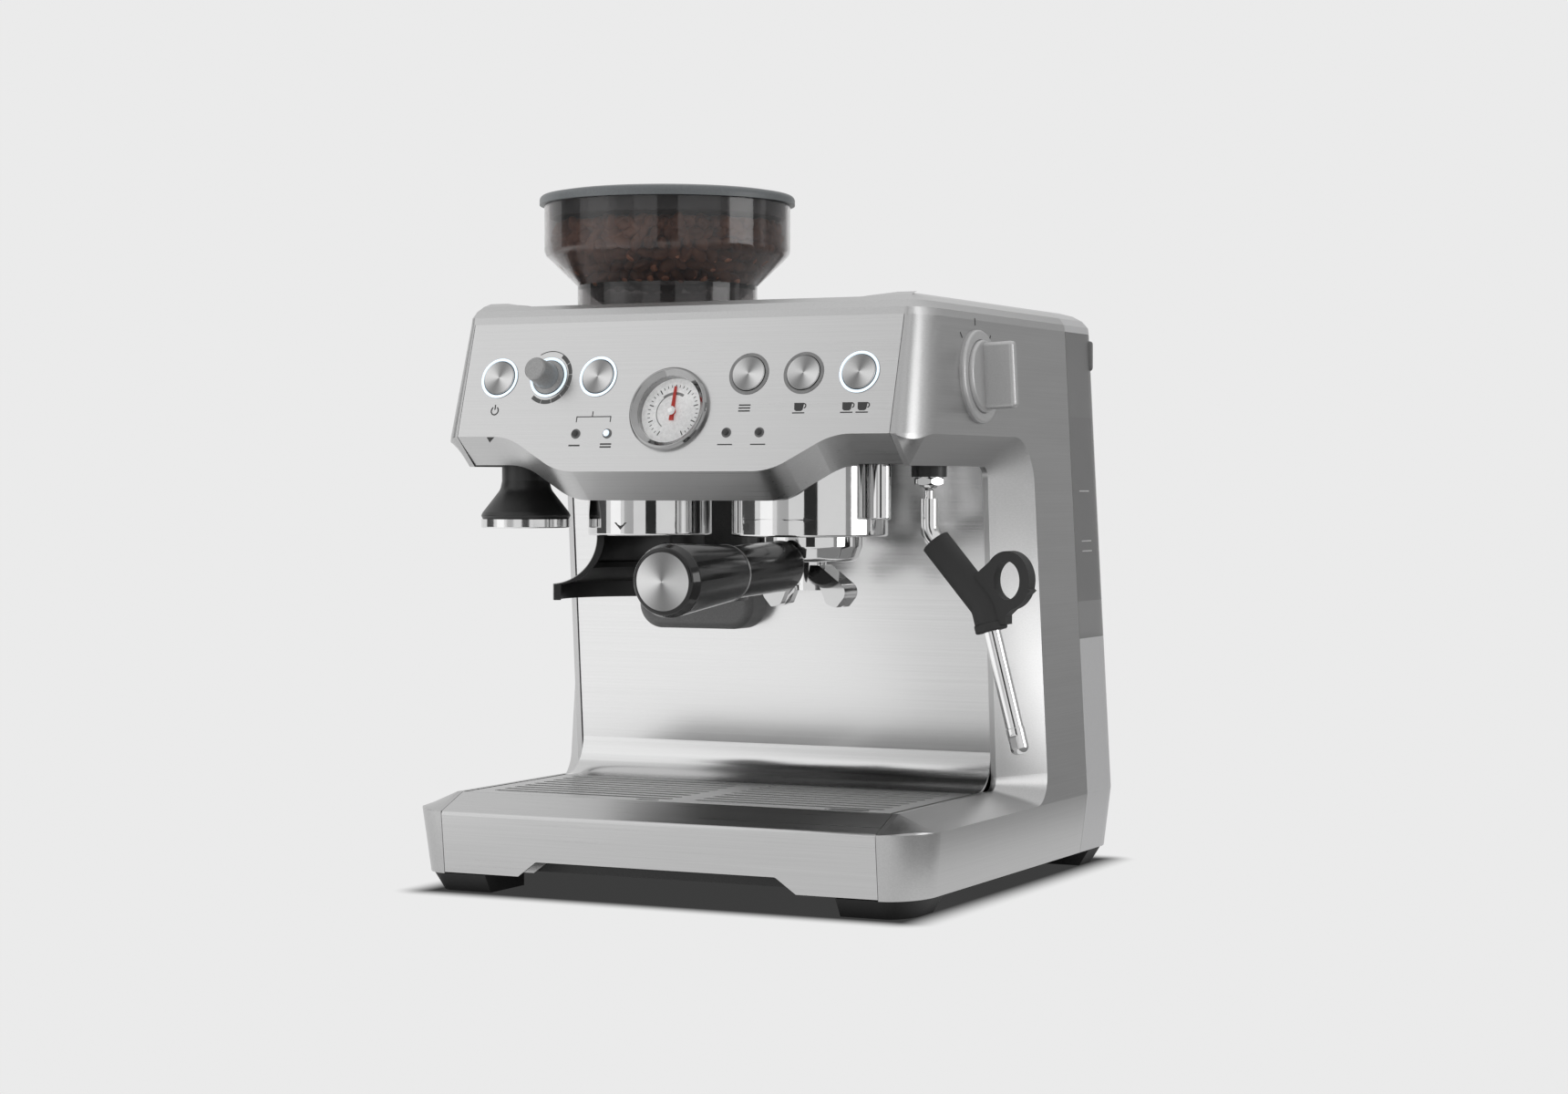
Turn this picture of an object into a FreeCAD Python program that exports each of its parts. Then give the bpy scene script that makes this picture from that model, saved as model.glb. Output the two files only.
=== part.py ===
import FreeCAD, Part
import math
import os
from FreeCAD import Vector

# Espresso machine with a built-in grinder, in millimetres.
# X runs to the machine's right, the front faces -Y, Z is up and the counter is at z = 0.

# Heights of the casing
base_z = 10.5             # underside of the casing
crease_z = 45.8           # edge round the base where the walls turn inwards
grill_z = 55.0            # top of the drip grill, the floor of the cup space
deck_z = 240.0            # roof of the cup space
chin_z = 256.9            # lower edge of the control face
head_top = 321.0          # top edge of the steel casing

# Plan of the casing at those heights
base_half = 154.5
crease_half = 159.0
chin_half = 147.5
top_half = 144.2
base_front = -156.3
crease_front = -160.0
chin_front = -141.9
face_lean = 0.304         # backward lean of the control face per unit of height
casing_back = 158.0
corner_w = 10.2           # from the casing's top edge in to the seams of the front pieces
front_corner = 30.0       # how far back the front corners reach
rear_corner = 30.0
tank_seam_y = 92.0        # seam between the side panels and the water tank

# Sheet and wall thicknesses
panel_t = 1.6
face_t = 3.0
cover_t = 2.5
splash_t = 1.5
deck_t = 3.0
pan_t = 2.0
bulkhead_t = 2.0
flange_w = 14.0           # return flanges along the panel edges
edge_round = 1.0          # small rounding of turned edges

# Clearances
seam_gap = 0.15           # half of a visible seam
slide_gap = 0.3           # between pieces that slide past each other
run_gap = 0.05            # round a shaft in its bore
drop_gap = 0.5            # round pieces that are put in and lifted out

# Cup space: a straight tunnel that flares out to the side walls
opening_lip = 3.4         # tunnel walls outside the seams
splash_low_y = 1.3        # splash plate at the grill
splash_top_y = -13.0      # splash plate at the deck
grill_front = -137.0
chin_back = -123.3
opening_corner = 7.0
flare_low_y = 28.0        # rear edge of the flare at the crease
flare_top_y = 31.0        # rear edge of the flare at the chin
flare_low_corner = 18.0
flare_top_corner = 27.0
splash_curve = 20.0       # foot of the splash plate
splash_lip_y = -22.0      # front edge of its lip
splash_recess = 1.0       # splash plate behind the panels' inner edges

# Control face
chin_dip = 20.8           # how far the lower edge dips in the middle
wave_outer = 101.0
wave_inner = 66.0
wave_corner = 38.0
chin_deep = 19.0          # the chin runs back and down from the lower edge
chin_drop = 16.0
control_z = 290.0
power_x = -112.0
filter_x = -48.0
program_x = 46.0
one_cup_x = 79.0
two_cup_x = 112.0
amount_x = -80.0
lamp_in_x = 37.0
lamp_out_x = 57.0
lamp_z = 258.0
lamp_r = 2.8
button_r = 9.75
halo_r = 11.9
button_proud = 1.2
button_stem_r = 3.0
button_stem = 10.0
amount_r = 6.5
amount_proud = 16.5
gauge_z = 271.0
gauge_r = 24.0
gauge_bore = 19.3
gauge_depth = 8.0
gauge_proud = 4.0
dial_plate_t = 0.8
lens_t = 1.2
needle_pin_r = 1.0
needle_tip = 14.5
needle_tail = 5.0
needle_w = 1.3
needle_angle = 8.0

# Dials on the sides
steam_y = -48.5
steam_z = 289.5
steam_bezel_r = 26.0
steam_r = 20.2
steam_reach = 23.0
steam_bar_w = 7.0
steam_bar_half = 18.5
steam_disc_h = 5.7
size_y = -41.7
size_z = 291.0
size_r = 24.0
size_reach = 17.0
size_flutes = 18
size_flute_r = 2.0
side_shaft_r = 4.0
side_shaft = 9.0

# Top frame and cup tray
lip_h = 4.0
lip_inset = 0.6
shoulder_h = 8.0          # bevel rounded over two shoulders
shoulder_inset = 4.0
brow_h = 11.0
brow_inset = 9.5
rim_h = 13.0
rim_bevel = 17.0
front_dip = 2.6           # front rail below the side rails
dip_half = 105.0
dip_run = 18.0
frame_rail = 20.0         # width of the side and front rails
rear_rail = 8.0
tray_ledge = 6.0
cup_tray_t = 1.5
cup_tray_rim = 3.0

# Hopper and grinder
hopper_x = -52.5
hopper_y = -41.7
hopper_collar_r = 52.5
hopper_r = 71.8
hopper_wall = 2.5
hopper_cone_z = 345.5
hopper_bowl_z = 364.0
hopper_top_z = 392.5
hopper_bend = 6.0
hopper_throat_r = 20.0
lid_r = 74.5
lid_edge = 5.0
lid_edge_round = 3.0
lid_crown = 3.5
lid_crown_round = 20.0
lid_skirt = 8.0
socket_t = 4.0
socket_floor_z = 300.0
throat_gap = 0.5          # throat above the burr
burr_top_z = 306.0
burr_low_z = 288.0
burr_ring_r = 23.5
burr_flange = 3.5
burr_cone_top = 9.0
burr_cone_low = 18.4
burr_gap = 0.6
burr_flutes = 8
motor_r = 26.0
motor_h = 39.0
motor_shaft_r = 4.0

# Group, grinder outlet and what hangs from the head
group_x = 57.0
group_y = -78.0
collar_z = 201.0          # lower edge of both chrome collars
group_r = 44.0
collar_t = 3.0
outlet_x = -44.0
outlet_r = 36.0
outlet_bore = 10.0
bayonet_r = 30.2
bayonet_t = 4.0
brew_r = 34.0
brew_top = 222.5
gasket_t = 6.0
screen_r = 26.8
ear_reach = 4.0
ear_t = 5.0
ear_half_deg = 20.0
unlock_deg = -40.0
bowl_r = 29.25
bowl_wall = 2.0
bowl_low = 187.0
bowl_top = 215.0
basket_r = 26.6
basket_t = 0.8
basket_rim = 1.2
spout_spread = 15.0
spout_reach = 28.0
spout_tip_z = 161.5
spout_depth = 17.0
spout_boss_r = 9.5
spout_bore = 3.0
spout_drop = 16.0
handle_z = 186.5
handle_fall_deg = 2.0
handle_start = 33.0
handle_ring_d = 104.0
handle_end = 174.0
handle_rear_r = 14.0
handle_front_r = 15.2
handle_end_r = 19.0
handle_cap_r = 15.0
neck_r = 9.0

# Grind cradle and the housing behind it
cradle_top_r = 31.0
cradle_low_r = 56.0
cradle_low_z = 164.0
cradle_lip = 9.0
cradle_t = 4.0
cradle_bow = 30.0
cradle_mouth_deg = 52.0
fork_z = 182.0
fork_t = 3.0
fork_slot = 60.0
chute_w = 75.0
chute_low_z = 145.0
chute_proud = 20.0
chute_corner = 14.0
chute_round = 5.0
trigger_w = 12.0
trigger_h = 9.0
trigger_z = 191.0
trigger_front = -52.0
trigger_travel = 3.0

# Tamper
tamper_x = -114.6
tamper_y = -99.0
tamper_stem_r = 13.75
tamper_top_z = 262.0
tamper_neck_z = 228.0
tamper_r = 25.8
tamper_ring_z = 214.0
tamper_base_z = 210.0
tamper_low_z = 205.0

# Water spout and steam wand
water_x = 106.5
water_y = -92.0
water_r = 5.7
water_low_z = 210.6
water_bore = 4.2
wand_x = 124.0
wand_y = -65.5
nut_af = 15.5
nut_low_z = 229.5
nut_top_z = 233.7
nut_chamfer = 1.0
nut_neck_r = 7.3          # turns in the deck's boss
boss_r = 9.8
ball_z = 231.5
ball_r = 5.6
wand_r = 4.9
wand_top_z = 222.0
wand_neck_r = 2.4
wand_bend_z = 203.0
wand_elbow_x = 158.0
wand_elbow_z = 163.0
wand_tip_x = 175.0
wand_tip_z = 97.0
wand_bend_r = 14.0
tip_r = 5.2
tip_len = 15.0
tip_slot_r = 2.6
tip_slot_h = 4.0
grip_r = 9.0
grip_start = 0.12         # share of the slanted run where the grip begins
grip_tail = 14.0          # grip below the elbow
ring_x = 172.0
ring_z = 177.5
ring_hole_w = 15.0
ring_hole_h = 21.0
ring_rim = 5.6
ring_web = ((-21.6, 0.5), (-8.0, 12.0), (13.8, -5.5), (-0.6, -19.0), (-0.6, -24.0), (-13.0, -24.0))
grip_collar = 5.0         # thicker end of the grip
ring_t = 10.0

# Drip tray
tray_front_low = 11.3
tray_cut_low = 86.0
tray_cut_top = 74.0
tray_cut_z = 20.0
tray_edge_r = 2.5
tray_wall = 2.0
tub_gap = 5.0             # tub inside the seams
grill_t = 2.5
grill_gap = 2.0           # grill inside the seams
grill_rows = 9
grill_pitch = 11.0
grill_slot_w = 5.0
grill_edge = 10.0         # grill beyond the ends of its slots
grill_slot_mid = 7.0
grill_first_y = -121.0
finger_x = 104.0
finger_w = 26.0
finger_h = 9.0
finger_y = -130.0
float_x = -18.0
float_w = 14.0

# Water tank, rear cover and feet
tank_wall = 2.5
lid_wall = 3.0
lid_plug = 10.0
shelf_z = 138.0
gland_x = -95.0
gland_z = 38.0
gland_r = 11.0
gland_bore = 4.5
gland_proud = 6.0
foot_size = 46.0
foot_inset_top = 1.5
foot_inset_low = 8.0
foot_front_y = -112.0
foot_rear_y = 112.0

# Pieces inside the casing
pump_r = 22.0
pump_len = 90.0
pump_x = -70.0
pump_y = 45.0
pump_z = 48.0
pump_saddle = 30.0
coil_x = 70.0
coil_y = 30.0
coil_r = 42.0
coil_bore = 16.0
coil_h = 46.0
board_w = 110.0
board_h = 48.0
board_t = 1.6
board_y = 78.0

# Beyond every piece, for the tools that cut right through
far = 600.0

seam_x = top_half - corner_w
opening_half = seam_x + opening_lip
tub_half = seam_x - tub_gap
grill_half = seam_x - grill_gap
grill_slot_end = grill_half - grill_edge
button_xs = {"button_power": power_x, "button_filter_size": filter_x, "button_program": program_x,
             "button_one_cup": one_cup_x, "button_two_cup": two_cup_x}
lamp_xs = (-lamp_out_x, -lamp_in_x, lamp_in_x, lamp_out_x)
chin_run = Vector(0, chin_deep, -chin_drop)
deck_low = deck_z + panel_t
deck_top = deck_low + deck_t
pan_low = base_z + panel_t
pan_top = pan_low + pan_t
tub_low_z = pan_top
panel_back = tank_seam_y - seam_gap
inner_inset = max(panel_t, cover_t) + slide_gap
ledge_z = head_top + lip_h
hopper_foot_z = socket_floor_z + socket_t
top_front = chin_front + face_lean * (head_top - chin_z)
face_up = Vector(0, face_lean, 1).normalize()
face_out = Vector(0, -face_up.z, face_up.y)
levels = [(base_z, base_half, base_front), (crease_z, crease_half, crease_front),
          (chin_z, chin_half, chin_front), (head_top, top_half, top_front)]
made = {}


def level_at(z, column):
    """Half width (1) or front face (2) of the casing at one height"""
    low, high = levels[0], levels[1]
    for low, high in zip(levels, levels[1:]):
        if z <= high[0]:
            break
    share = (z - low[0]) / (high[0] - low[0])
    return low[column] + share * (high[column] - low[column])


def splash_y(z):
    """Front of the splash plate's line at one height"""
    return splash_low_y + (splash_top_y - splash_low_y) * (z - grill_z) / (deck_z - grill_z)


def wall_x(z):
    """Side wall between the crease and the chin"""
    return crease_half + (chin_half - crease_half) * (z - crease_z) / (chin_z - crease_z)


def on_plan(z):
    return lambda u, v: Vector(u, v, z)


def on_side(x):
    return lambda u, v: Vector(x, u, v)


def on_front(y):
    return lambda u, v: Vector(u, y, v)


def on_wall(y, z):
    return Vector(wall_x(z), y, z)


def on_face(u, v):
    """A place on the control face, across and up from the middle of its lower edge"""
    return Vector(u, chin_front, chin_z) + face_up * v


def rounded(corners, place):
    """Closed wire through (u, v) or (u, v, radius) corners"""
    flat = [(Vector(c[0], c[1], 0), c[2] if len(c) > 2 else 0) for c in corners]
    stops = []
    for i, (here, radius) in enumerate(flat):
        to_last = (flat[i - 1][0] - here).normalize()
        to_next = (flat[(i + 1) % len(flat)][0] - here).normalize()
        half = to_last.getAngle(to_next) / 2
        reach = radius / math.tan(half)
        middle = here
        if radius:
            middle = here + (to_last + to_next).normalize() * (radius / math.sin(half) - radius)
        stops.append((here + to_last * reach, middle, here + to_next * reach, radius))
    edges = []
    for i, (start, middle, end, radius) in enumerate(stops):
        if radius:
            edges.append(Part.Arc(*[place(p.x, p.y) for p in (start, middle, end)]).toShape())
        ahead = stops[(i + 1) % len(stops)][0]
        edges.append(Part.makeLine(place(end.x, end.y), place(ahead.x, ahead.y)))
    return Part.Wire(edges)


def prism(corners, place, run):
    return Part.Face(rounded(corners, place)).extrude(run)


def block(low, high):
    low, high = Vector(*low), Vector(*high)
    size = high - low
    return Part.makeBox(size.x, size.y, size.z, low)


def turned(corners, x=0.0, y=0.0):
    """Solid of revolution about a vertical axis from (radius, height) corners"""
    face = Part.Face(rounded(corners, lambda r, z: Vector(x + r, y, z)))
    return face.revolve(Vector(x, y, 0), Vector(0, 0, 1), 360)


def sector(r_low, r_high, z_low, z_high, middle_deg, half_deg, x, y):
    """Part of a ring about a vertical axis"""
    corners = [(r_low, z_low), (r_high, z_low), (r_high, z_high), (r_low, z_high)]
    face = Part.Face(rounded(corners, lambda r, z: Vector(x + r, y, z)))
    face.rotate(Vector(x, y, 0), Vector(0, 0, 1), middle_deg - half_deg)
    return face.revolve(Vector(x, y, 0), Vector(0, 0, 1), 2 * half_deg)


def stand(shape, place, out, up):
    """Stands a shape made about the Z axis on a surface that faces out"""
    shape = shape.copy()
    shape.Placement = FreeCAD.Placement(place, FreeCAD.Rotation(up.cross(out), up, out, "ZXY"))
    return shape


def on_control_face(shape, x, z):
    return stand(shape, on_face(x, (z - chin_z) / face_up.z), face_out, face_up)


def side_axes(z, side):
    """Outward and upward directions of a side wall of the head"""
    lean = (chin_half - top_half) / (head_top - chin_z)
    up = Vector(-side * lean, 0, 1).normalize()
    return Vector(side * up.z, 0, -side * up.x), up


def on_side_wall(shape, y, z, side):
    out, up = side_axes(z, side)
    return stand(shape, Vector(side * level_at(z, 1), y, z), out, up)


def quarter(start, corner, end):
    """A smooth quarter turn from start to end that keeps inside the corner"""
    bow = 0.5523
    curve = Part.BezierCurve()
    curve.setPoles([start, start + (corner - start) * bow, end + (corner - end) * bow, end])
    return curve.toShape()


def plan_wire(z, half, front, back, inset):
    """Plan outline of the casing: flat between the seams, drawn-out front corners, round rear corners"""
    half, front, back = half - inset, front + inset, back - inset
    reach, turn = front_corner - inset, rear_corner - inset
    edges = []
    runs = [((-seam_x, front), (seam_x, front), (half, front)),
            ((half, front + reach), (half, back - turn), (half, back)),
            ((half - turn, back), (turn - half, back), (-half, back)),
            ((-half, back - turn), (-half, front + reach), (-half, front))]
    for i, (start, end, corner) in enumerate(runs):
        ahead = runs[(i + 1) % len(runs)][0]
        edges.append(Part.makeLine(Vector(*start, z), Vector(*end, z)))
        edges.append(quarter(Vector(*end, z), Vector(*corner, z), Vector(*ahead, z)))
    return Part.Wire(edges)


def casing(inset, low, high):
    """The casing's outside, drawn in by inset, between two heights"""
    stops = [low] + [level[0] for level in levels if low < level[0] < high] + [high]
    wires = [plan_wire(z, level_at(z, 1), level_at(z, 2), casing_back, inset) for z in stops]
    return Part.makeLoft(wires, True, True)


def opening(grow):
    """The three solids of the cup space: tunnel, flare and the air beside the wall"""
    low, roof = grill_z - grow, deck_z + grow
    crease, chin = crease_z - grow, chin_z + grow
    inner = [(-far, crease), (crease_front, crease), (grill_front, low),
             (splash_y(grill_z) + grow, low, opening_corner + grow),
             (splash_y(deck_z) + grow, roof, opening_corner + grow),
             (chin_back, roof), (chin_front, chin), (-far, chin)]
    outer = [(-far, crease), (crease_front, crease), (grill_front, crease),
             (flare_low_y + grow, crease, flare_low_corner),
             (flare_top_y + grow, chin, flare_top_corner),
             (chin_back, chin), (chin_front, chin), (-far, chin)]
    inner_wire = rounded(inner, on_side(opening_half))
    outer_wire = rounded(outer, on_wall)
    tunnel = Part.Face(inner_wire).extrude(Vector(-opening_half, 0, 0))
    flare = Part.makeLoft([inner_wire, outer_wire], True, True)
    beside = Part.Face(outer_wire).extrude(Vector(far, 0, 0))
    return [tunnel, flare, beside]


def cut_all(shape, cutters):
    for cutter in cutters:
        shape = shape.cut(cutter)
    return shape


def save(name, shape):
    """Keeps a piece under its name: one solid, or a group of like ones"""
    solids = shape.Solids
    made[name] = solids[0] if len(solids) == 1 else Part.makeCompound(solids)


# Casing

def side_panel():
    """Right side panel: a C of sheet steel with its flare and return flanges"""
    skin = cut_all(casing(0, base_z, head_top), opening(0))
    hollow = casing(panel_t, pan_low, head_top + panel_t)
    hollow = hollow.common(block((0, -far, 0), (far, panel_back - panel_t, far)))
    hollow = cut_all(hollow, opening(panel_t))
    floor_window = casing(flange_w, base_z - panel_t, pan_low + panel_t)
    rear_window = casing(flange_w, base_z + flange_w, head_top + panel_t)
    rear_window = rear_window.common(block((0, panel_back - 2 * panel_t, 0), (far, far, far)))
    floor_window = floor_window.common(block((0, -far, 0), (far, panel_back - flange_w, far)))
    pan_slot = casing(panel_t, pan_low, pan_top + slide_gap)
    shell = cut_all(skin, [hollow, floor_window, rear_window, pan_slot])
    return shell.common(block((seam_x + seam_gap, -far, 0), (far, panel_back, far)))


def dial_hole(radius, y, z, side):
    depth = side_shaft + panel_t
    return on_side_wall(Part.makeCylinder(radius, 2 * depth, Vector(0, 0, -depth)), y, z, side)


def build_panels():
    right = side_panel()
    left = right.mirror(Vector(0, 0, 0), Vector(1, 0, 0))
    save("right_side_panel", right.cut(dial_hole(steam_bezel_r - 2 * panel_t, steam_y, steam_z, 1)))
    save("left_side_panel", left.cut(dial_hole(side_shaft_r + run_gap, size_y, size_z, -1)))


def face_corners(inset, top):
    half = seam_x - seam_gap - inset
    dip = inset - chin_dip
    return [(half, inset), (wave_outer, inset, wave_corner), (wave_inner, dip, wave_corner),
            (-wave_inner, dip, wave_corner), (-wave_outer, inset, wave_corner), (-half, inset),
            (-half, top), (half, top)]


def face_hole(radius, x, z):
    return on_control_face(Part.makeCylinder(radius, 4 * face_t, Vector(0, 0, -2 * face_t)), x, z)


def build_fascia():
    """Leaning control face with a wave along its lower edge and the chin under it"""
    top = (head_top - chin_z) / face_up.z + face_t
    outside = prism(face_corners(0, top), on_face, chin_run)
    inside = prism(face_corners(face_t / 2, top + far), on_face, chin_run * 2)
    inside.translate(face_out * -face_t)
    shell = outside.cut(inside).common(block((-far, -far, 0), (far, far, head_top)))
    holes = [face_hole(halo_r, x, control_z) for x in list(button_xs.values()) + [amount_x]]
    holes += [face_hole(lamp_r, x, lamp_z) for x in lamp_xs]
    holes.append(face_hole(gauge_r - face_t, 0, gauge_z))
    save("control_fascia", cut_all(shell, holes))


def build_splash_plate():
    """Leaning sheet with a concave foot that runs out into a lip behind the grill"""
    lip = grill_z - splash_t
    front = splash_recess
    back = splash_recess + splash_t
    corners = [(splash_y(deck_low) + front, deck_low), (splash_y(grill_z) + front, grill_z, splash_curve),
               (splash_lip_y, grill_z), (splash_lip_y, lip),
               (splash_y(lip) + back, lip, splash_curve + splash_t),
               (splash_y(deck_low) + back, deck_low)]
    half = seam_x - seam_gap
    save("splash_plate", prism(corners, on_side(-half), Vector(2 * half, 0, 0)))


def build_head_floor():
    """Deck across the head and the column, with the holes that the group and the spouts need"""
    half = opening_half - slide_gap
    back = panel_back - panel_t - bulkhead_t
    face_inner = chin_front + chin_run.y + deck_t
    deck = block((-half, face_inner, deck_low), (half, back, deck_top))
    holes = [(group_r - collar_t, group_x, group_y), (outlet_bore, outlet_x, group_y),
             (tamper_stem_r + drop_gap, tamper_x, tamper_y), (water_bore, water_x, water_y)]
    drills = [Part.makeCylinder(r, 2 * deck_t, Vector(x, y, deck_low - deck_t / 2)) for r, x, y in holes]
    socket_top = tamper_top_z + deck_t
    socket = Part.makeCylinder(tamper_stem_r + drop_gap + deck_t, socket_top - deck_top,
                               Vector(tamper_x, tamper_y, deck_top))
    well = Part.makeCylinder(tamper_stem_r + drop_gap, tamper_top_z - deck_top, Vector(tamper_x, tamper_y, deck_top))
    boss_low = nut_top_z + slide_gap
    boss = turned([(nut_neck_r + run_gap, boss_low), (boss_r, boss_low), (boss_r, deck_low),
                   (nut_neck_r + run_gap, deck_low)], wand_x, wand_y)
    save("head_floor", cut_all(deck, drills).fuse([socket.cut(well), boss]).removeSplitter())


def build_bulkhead():
    back = panel_back - panel_t
    room = casing(inner_inset, pan_top, head_top)
    save("rear_bulkhead", room.common(block((-far, back - bulkhead_t, 0), (far, back, far))))


def build_base_pan():
    """Floor of the machine, with a wall under the splash plate's lip"""
    front = grill_front + drop_gap
    floor = casing(inner_inset, pan_low, pan_top).common(block((-far, front, 0), (far, far, far)))
    wall_y = splash_lip_y + pan_t / 2
    half = seam_x - seam_gap
    wall = block((-half, wall_y, pan_top - pan_t / 2), (half, wall_y + pan_t, grill_z - splash_t))
    save("base_pan", floor.fuse(wall).removeSplitter())


def build_feet():
    """Four flared rubber corners under the casing"""
    wires = []
    for z, inset in ((0, foot_inset_low), (base_z, foot_inset_top)):
        wires.append(plan_wire(z, base_half, base_front, casing_back, inset))
    plinth = Part.makeLoft(wires, True, True)
    inner = base_half - foot_size
    feet = []
    for side in (-1, 1):
        x_low, x_high = sorted((side * inner, side * far))
        feet.append(plinth.common(block((x_low, -far, 0), (x_high, foot_front_y, far))))
        feet.append(plinth.common(block((x_low, foot_rear_y, 0), (x_high, far, far))))
    save("rubber_feet", Part.makeCompound(feet))


def build_rear_cover():
    """Lower rear cover with the shelf that the tank stands on and the gland of the mains lead"""
    outside = casing(0, base_z, shelf_z)
    inside = casing(cover_t, pan_low, shelf_z - cover_t)
    window = casing(flange_w, base_z - panel_t, pan_low + panel_t)
    rear = block((-far, tank_seam_y + seam_gap, 0), (far, far, far))
    cover = outside.common(rear).cut(inside).cut(window)
    gland = Part.makeCone(gland_r, gland_r - 2, gland_proud + cover_t,
                          Vector(gland_x, casing_back - cover_t, gland_z), Vector(0, 1, 0))
    bore = Part.makeCylinder(gland_bore, 2 * far, Vector(gland_x, 0, gland_z), Vector(0, 1, 0))
    save("rear_cover", cover.fuse(gland).cut(bore).removeSplitter())


def cap_loft(inset):
    """Bevelled cap over the whole plan, shared by the top frame and the tank lid"""
    stops = ((head_top, 0), (head_top + lip_h, lip_inset), (head_top + shoulder_h, shoulder_inset),
             (head_top + brow_h, brow_inset), (head_top + rim_h, rim_bevel))
    wires = [plan_wire(z, top_half, top_front, casing_back, inset + more) for z, more in stops]
    return Part.makeLoft(wires, True, True)


def build_top_frame():
    """Bevelled rim round the cup tray, lower along the front than along the sides"""
    half = top_half - frame_rail
    front = top_front + frame_rail
    back = panel_back - rear_rail
    top = head_top + rim_h
    frame = cap_loft(0).common(block((-far, -far, 0), (far, panel_back, far)))
    recess = block((-half, front, ledge_z), (half, back, far))
    well = block((tray_ledge - half, front + tray_ledge, 0), (half - tray_ledge, back - tray_ledge, far))
    wide = dip_half + dip_run
    dip = [(-wide, top), (-dip_half, top - front_dip, dip_run), (dip_half, top - front_dip, dip_run),
           (wide, top), (wide, far), (-wide, far)]
    trough = prism(dip, on_front(-far), Vector(0, far + front + tray_ledge, 0))
    socket_r = hopper_collar_r + drop_gap + socket_t + slide_gap
    socket = Part.makeCylinder(socket_r, far, Vector(hopper_x, hopper_y, 0))
    save("top_frame", cut_all(frame, [recess, well, trough, socket]))
    tray_half = half - slide_gap
    low = (-tray_half, front + slide_gap, ledge_z)
    rim_top = ledge_z + cup_tray_rim
    tray = block(low, (tray_half, back - slide_gap, rim_top))
    dish = block((cup_tray_t - tray_half, front + slide_gap + cup_tray_t, ledge_z + cup_tray_t),
                 (tray_half - cup_tray_t, back - slide_gap - cup_tray_t, far))
    hole = Part.makeCylinder(hopper_collar_r + drop_gap, far, Vector(hopper_x, hopper_y, 0))
    save("cup_tray", cut_all(tray, [dish, hole]))


# Controls

def build_buttons():
    halo = turned([(button_r + slide_gap, -face_t), (halo_r, -face_t), (halo_r, slide_gap),
                   (button_r + slide_gap, slide_gap)])
    button = turned([(0, -button_stem), (button_stem_r, -button_stem), (button_stem_r, -face_t),
                     (button_r, -face_t), (button_r, button_proud, button_proud / 2),
                     (0, button_proud - slide_gap)])
    halos = []
    for name, x in button_xs.items():
        save(name, on_control_face(button, x, control_z))
        halos.append(on_control_face(halo, x, control_z))
    halos.append(on_control_face(halo, amount_x, control_z))
    save("button_halos", Part.makeCompound(halos))
    knob = turned([(0, -button_stem), (button_stem_r, -button_stem), (button_stem_r, -face_t),
                   (button_r, -face_t), (button_r, button_proud, button_proud / 3),
                   (amount_r + button_proud, 2 * button_proud), (amount_r, amount_proud, button_proud),
                   (0, amount_proud)])
    save("grind_amount_knob", on_control_face(knob, amount_x, control_z))
    lamp = turned([(0, -face_t), (lamp_r, -face_t), (lamp_r, slide_gap), (0, 3 * slide_gap)])
    save("indicator_lamps", Part.makeCompound([on_control_face(lamp, x, lamp_z) for x in lamp_xs]))


def build_gauge():
    """Pressure gauge: bezel, dial plate, needle and lens"""
    hole = gauge_r - face_t
    seat = dial_plate_t - gauge_depth + face_t
    ledge = seat - dial_plate_t
    lens_low = -lens_t / 2
    bezel = turned([(gauge_bore - face_t, -gauge_depth), (hole, -gauge_depth), (hole, 0), (gauge_r, 0),
                    (gauge_r, gauge_proud / 2, 1), (gauge_r - face_t / 2, gauge_proud, 1),
                    (gauge_bore, lens_t), (gauge_bore, ledge), (gauge_bore - face_t, ledge)])
    save("gauge_bezel", on_control_face(bezel, 0, gauge_z))
    pin_bore = needle_pin_r + run_gap
    dial = turned([(pin_bore, ledge), (gauge_bore, ledge), (gauge_bore, seat), (pin_bore, seat)])
    save("gauge_dial", on_control_face(dial, 0, gauge_z))
    lens = turned([(0, lens_low), (gauge_bore, lens_low), (gauge_bore, lens_t / 2), (0, lens_t)])
    save("gauge_lens", on_control_face(lens, 0, gauge_z))
    blade_low = seat + slide_gap
    blade = [(-needle_w, -needle_tail), (needle_w, -needle_tail), (needle_w / 2, needle_tip),
             (-needle_w / 2, needle_tip)]
    needle = prism(blade, on_plan(blade_low), Vector(0, 0, dial_plate_t))
    hub = Part.makeCylinder(2 * needle_pin_r, 2 * dial_plate_t, Vector(0, 0, blade_low))
    pin = Part.makeCylinder(needle_pin_r, blade_low - ledge, Vector(0, 0, ledge))
    needle = needle.fuse([hub, pin]).removeSplitter()
    needle.rotate(Vector(0, 0, 0), Vector(0, 0, 1), needle_angle)
    save("gauge_needle", on_control_face(needle.copy(), 0, gauge_z))


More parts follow.
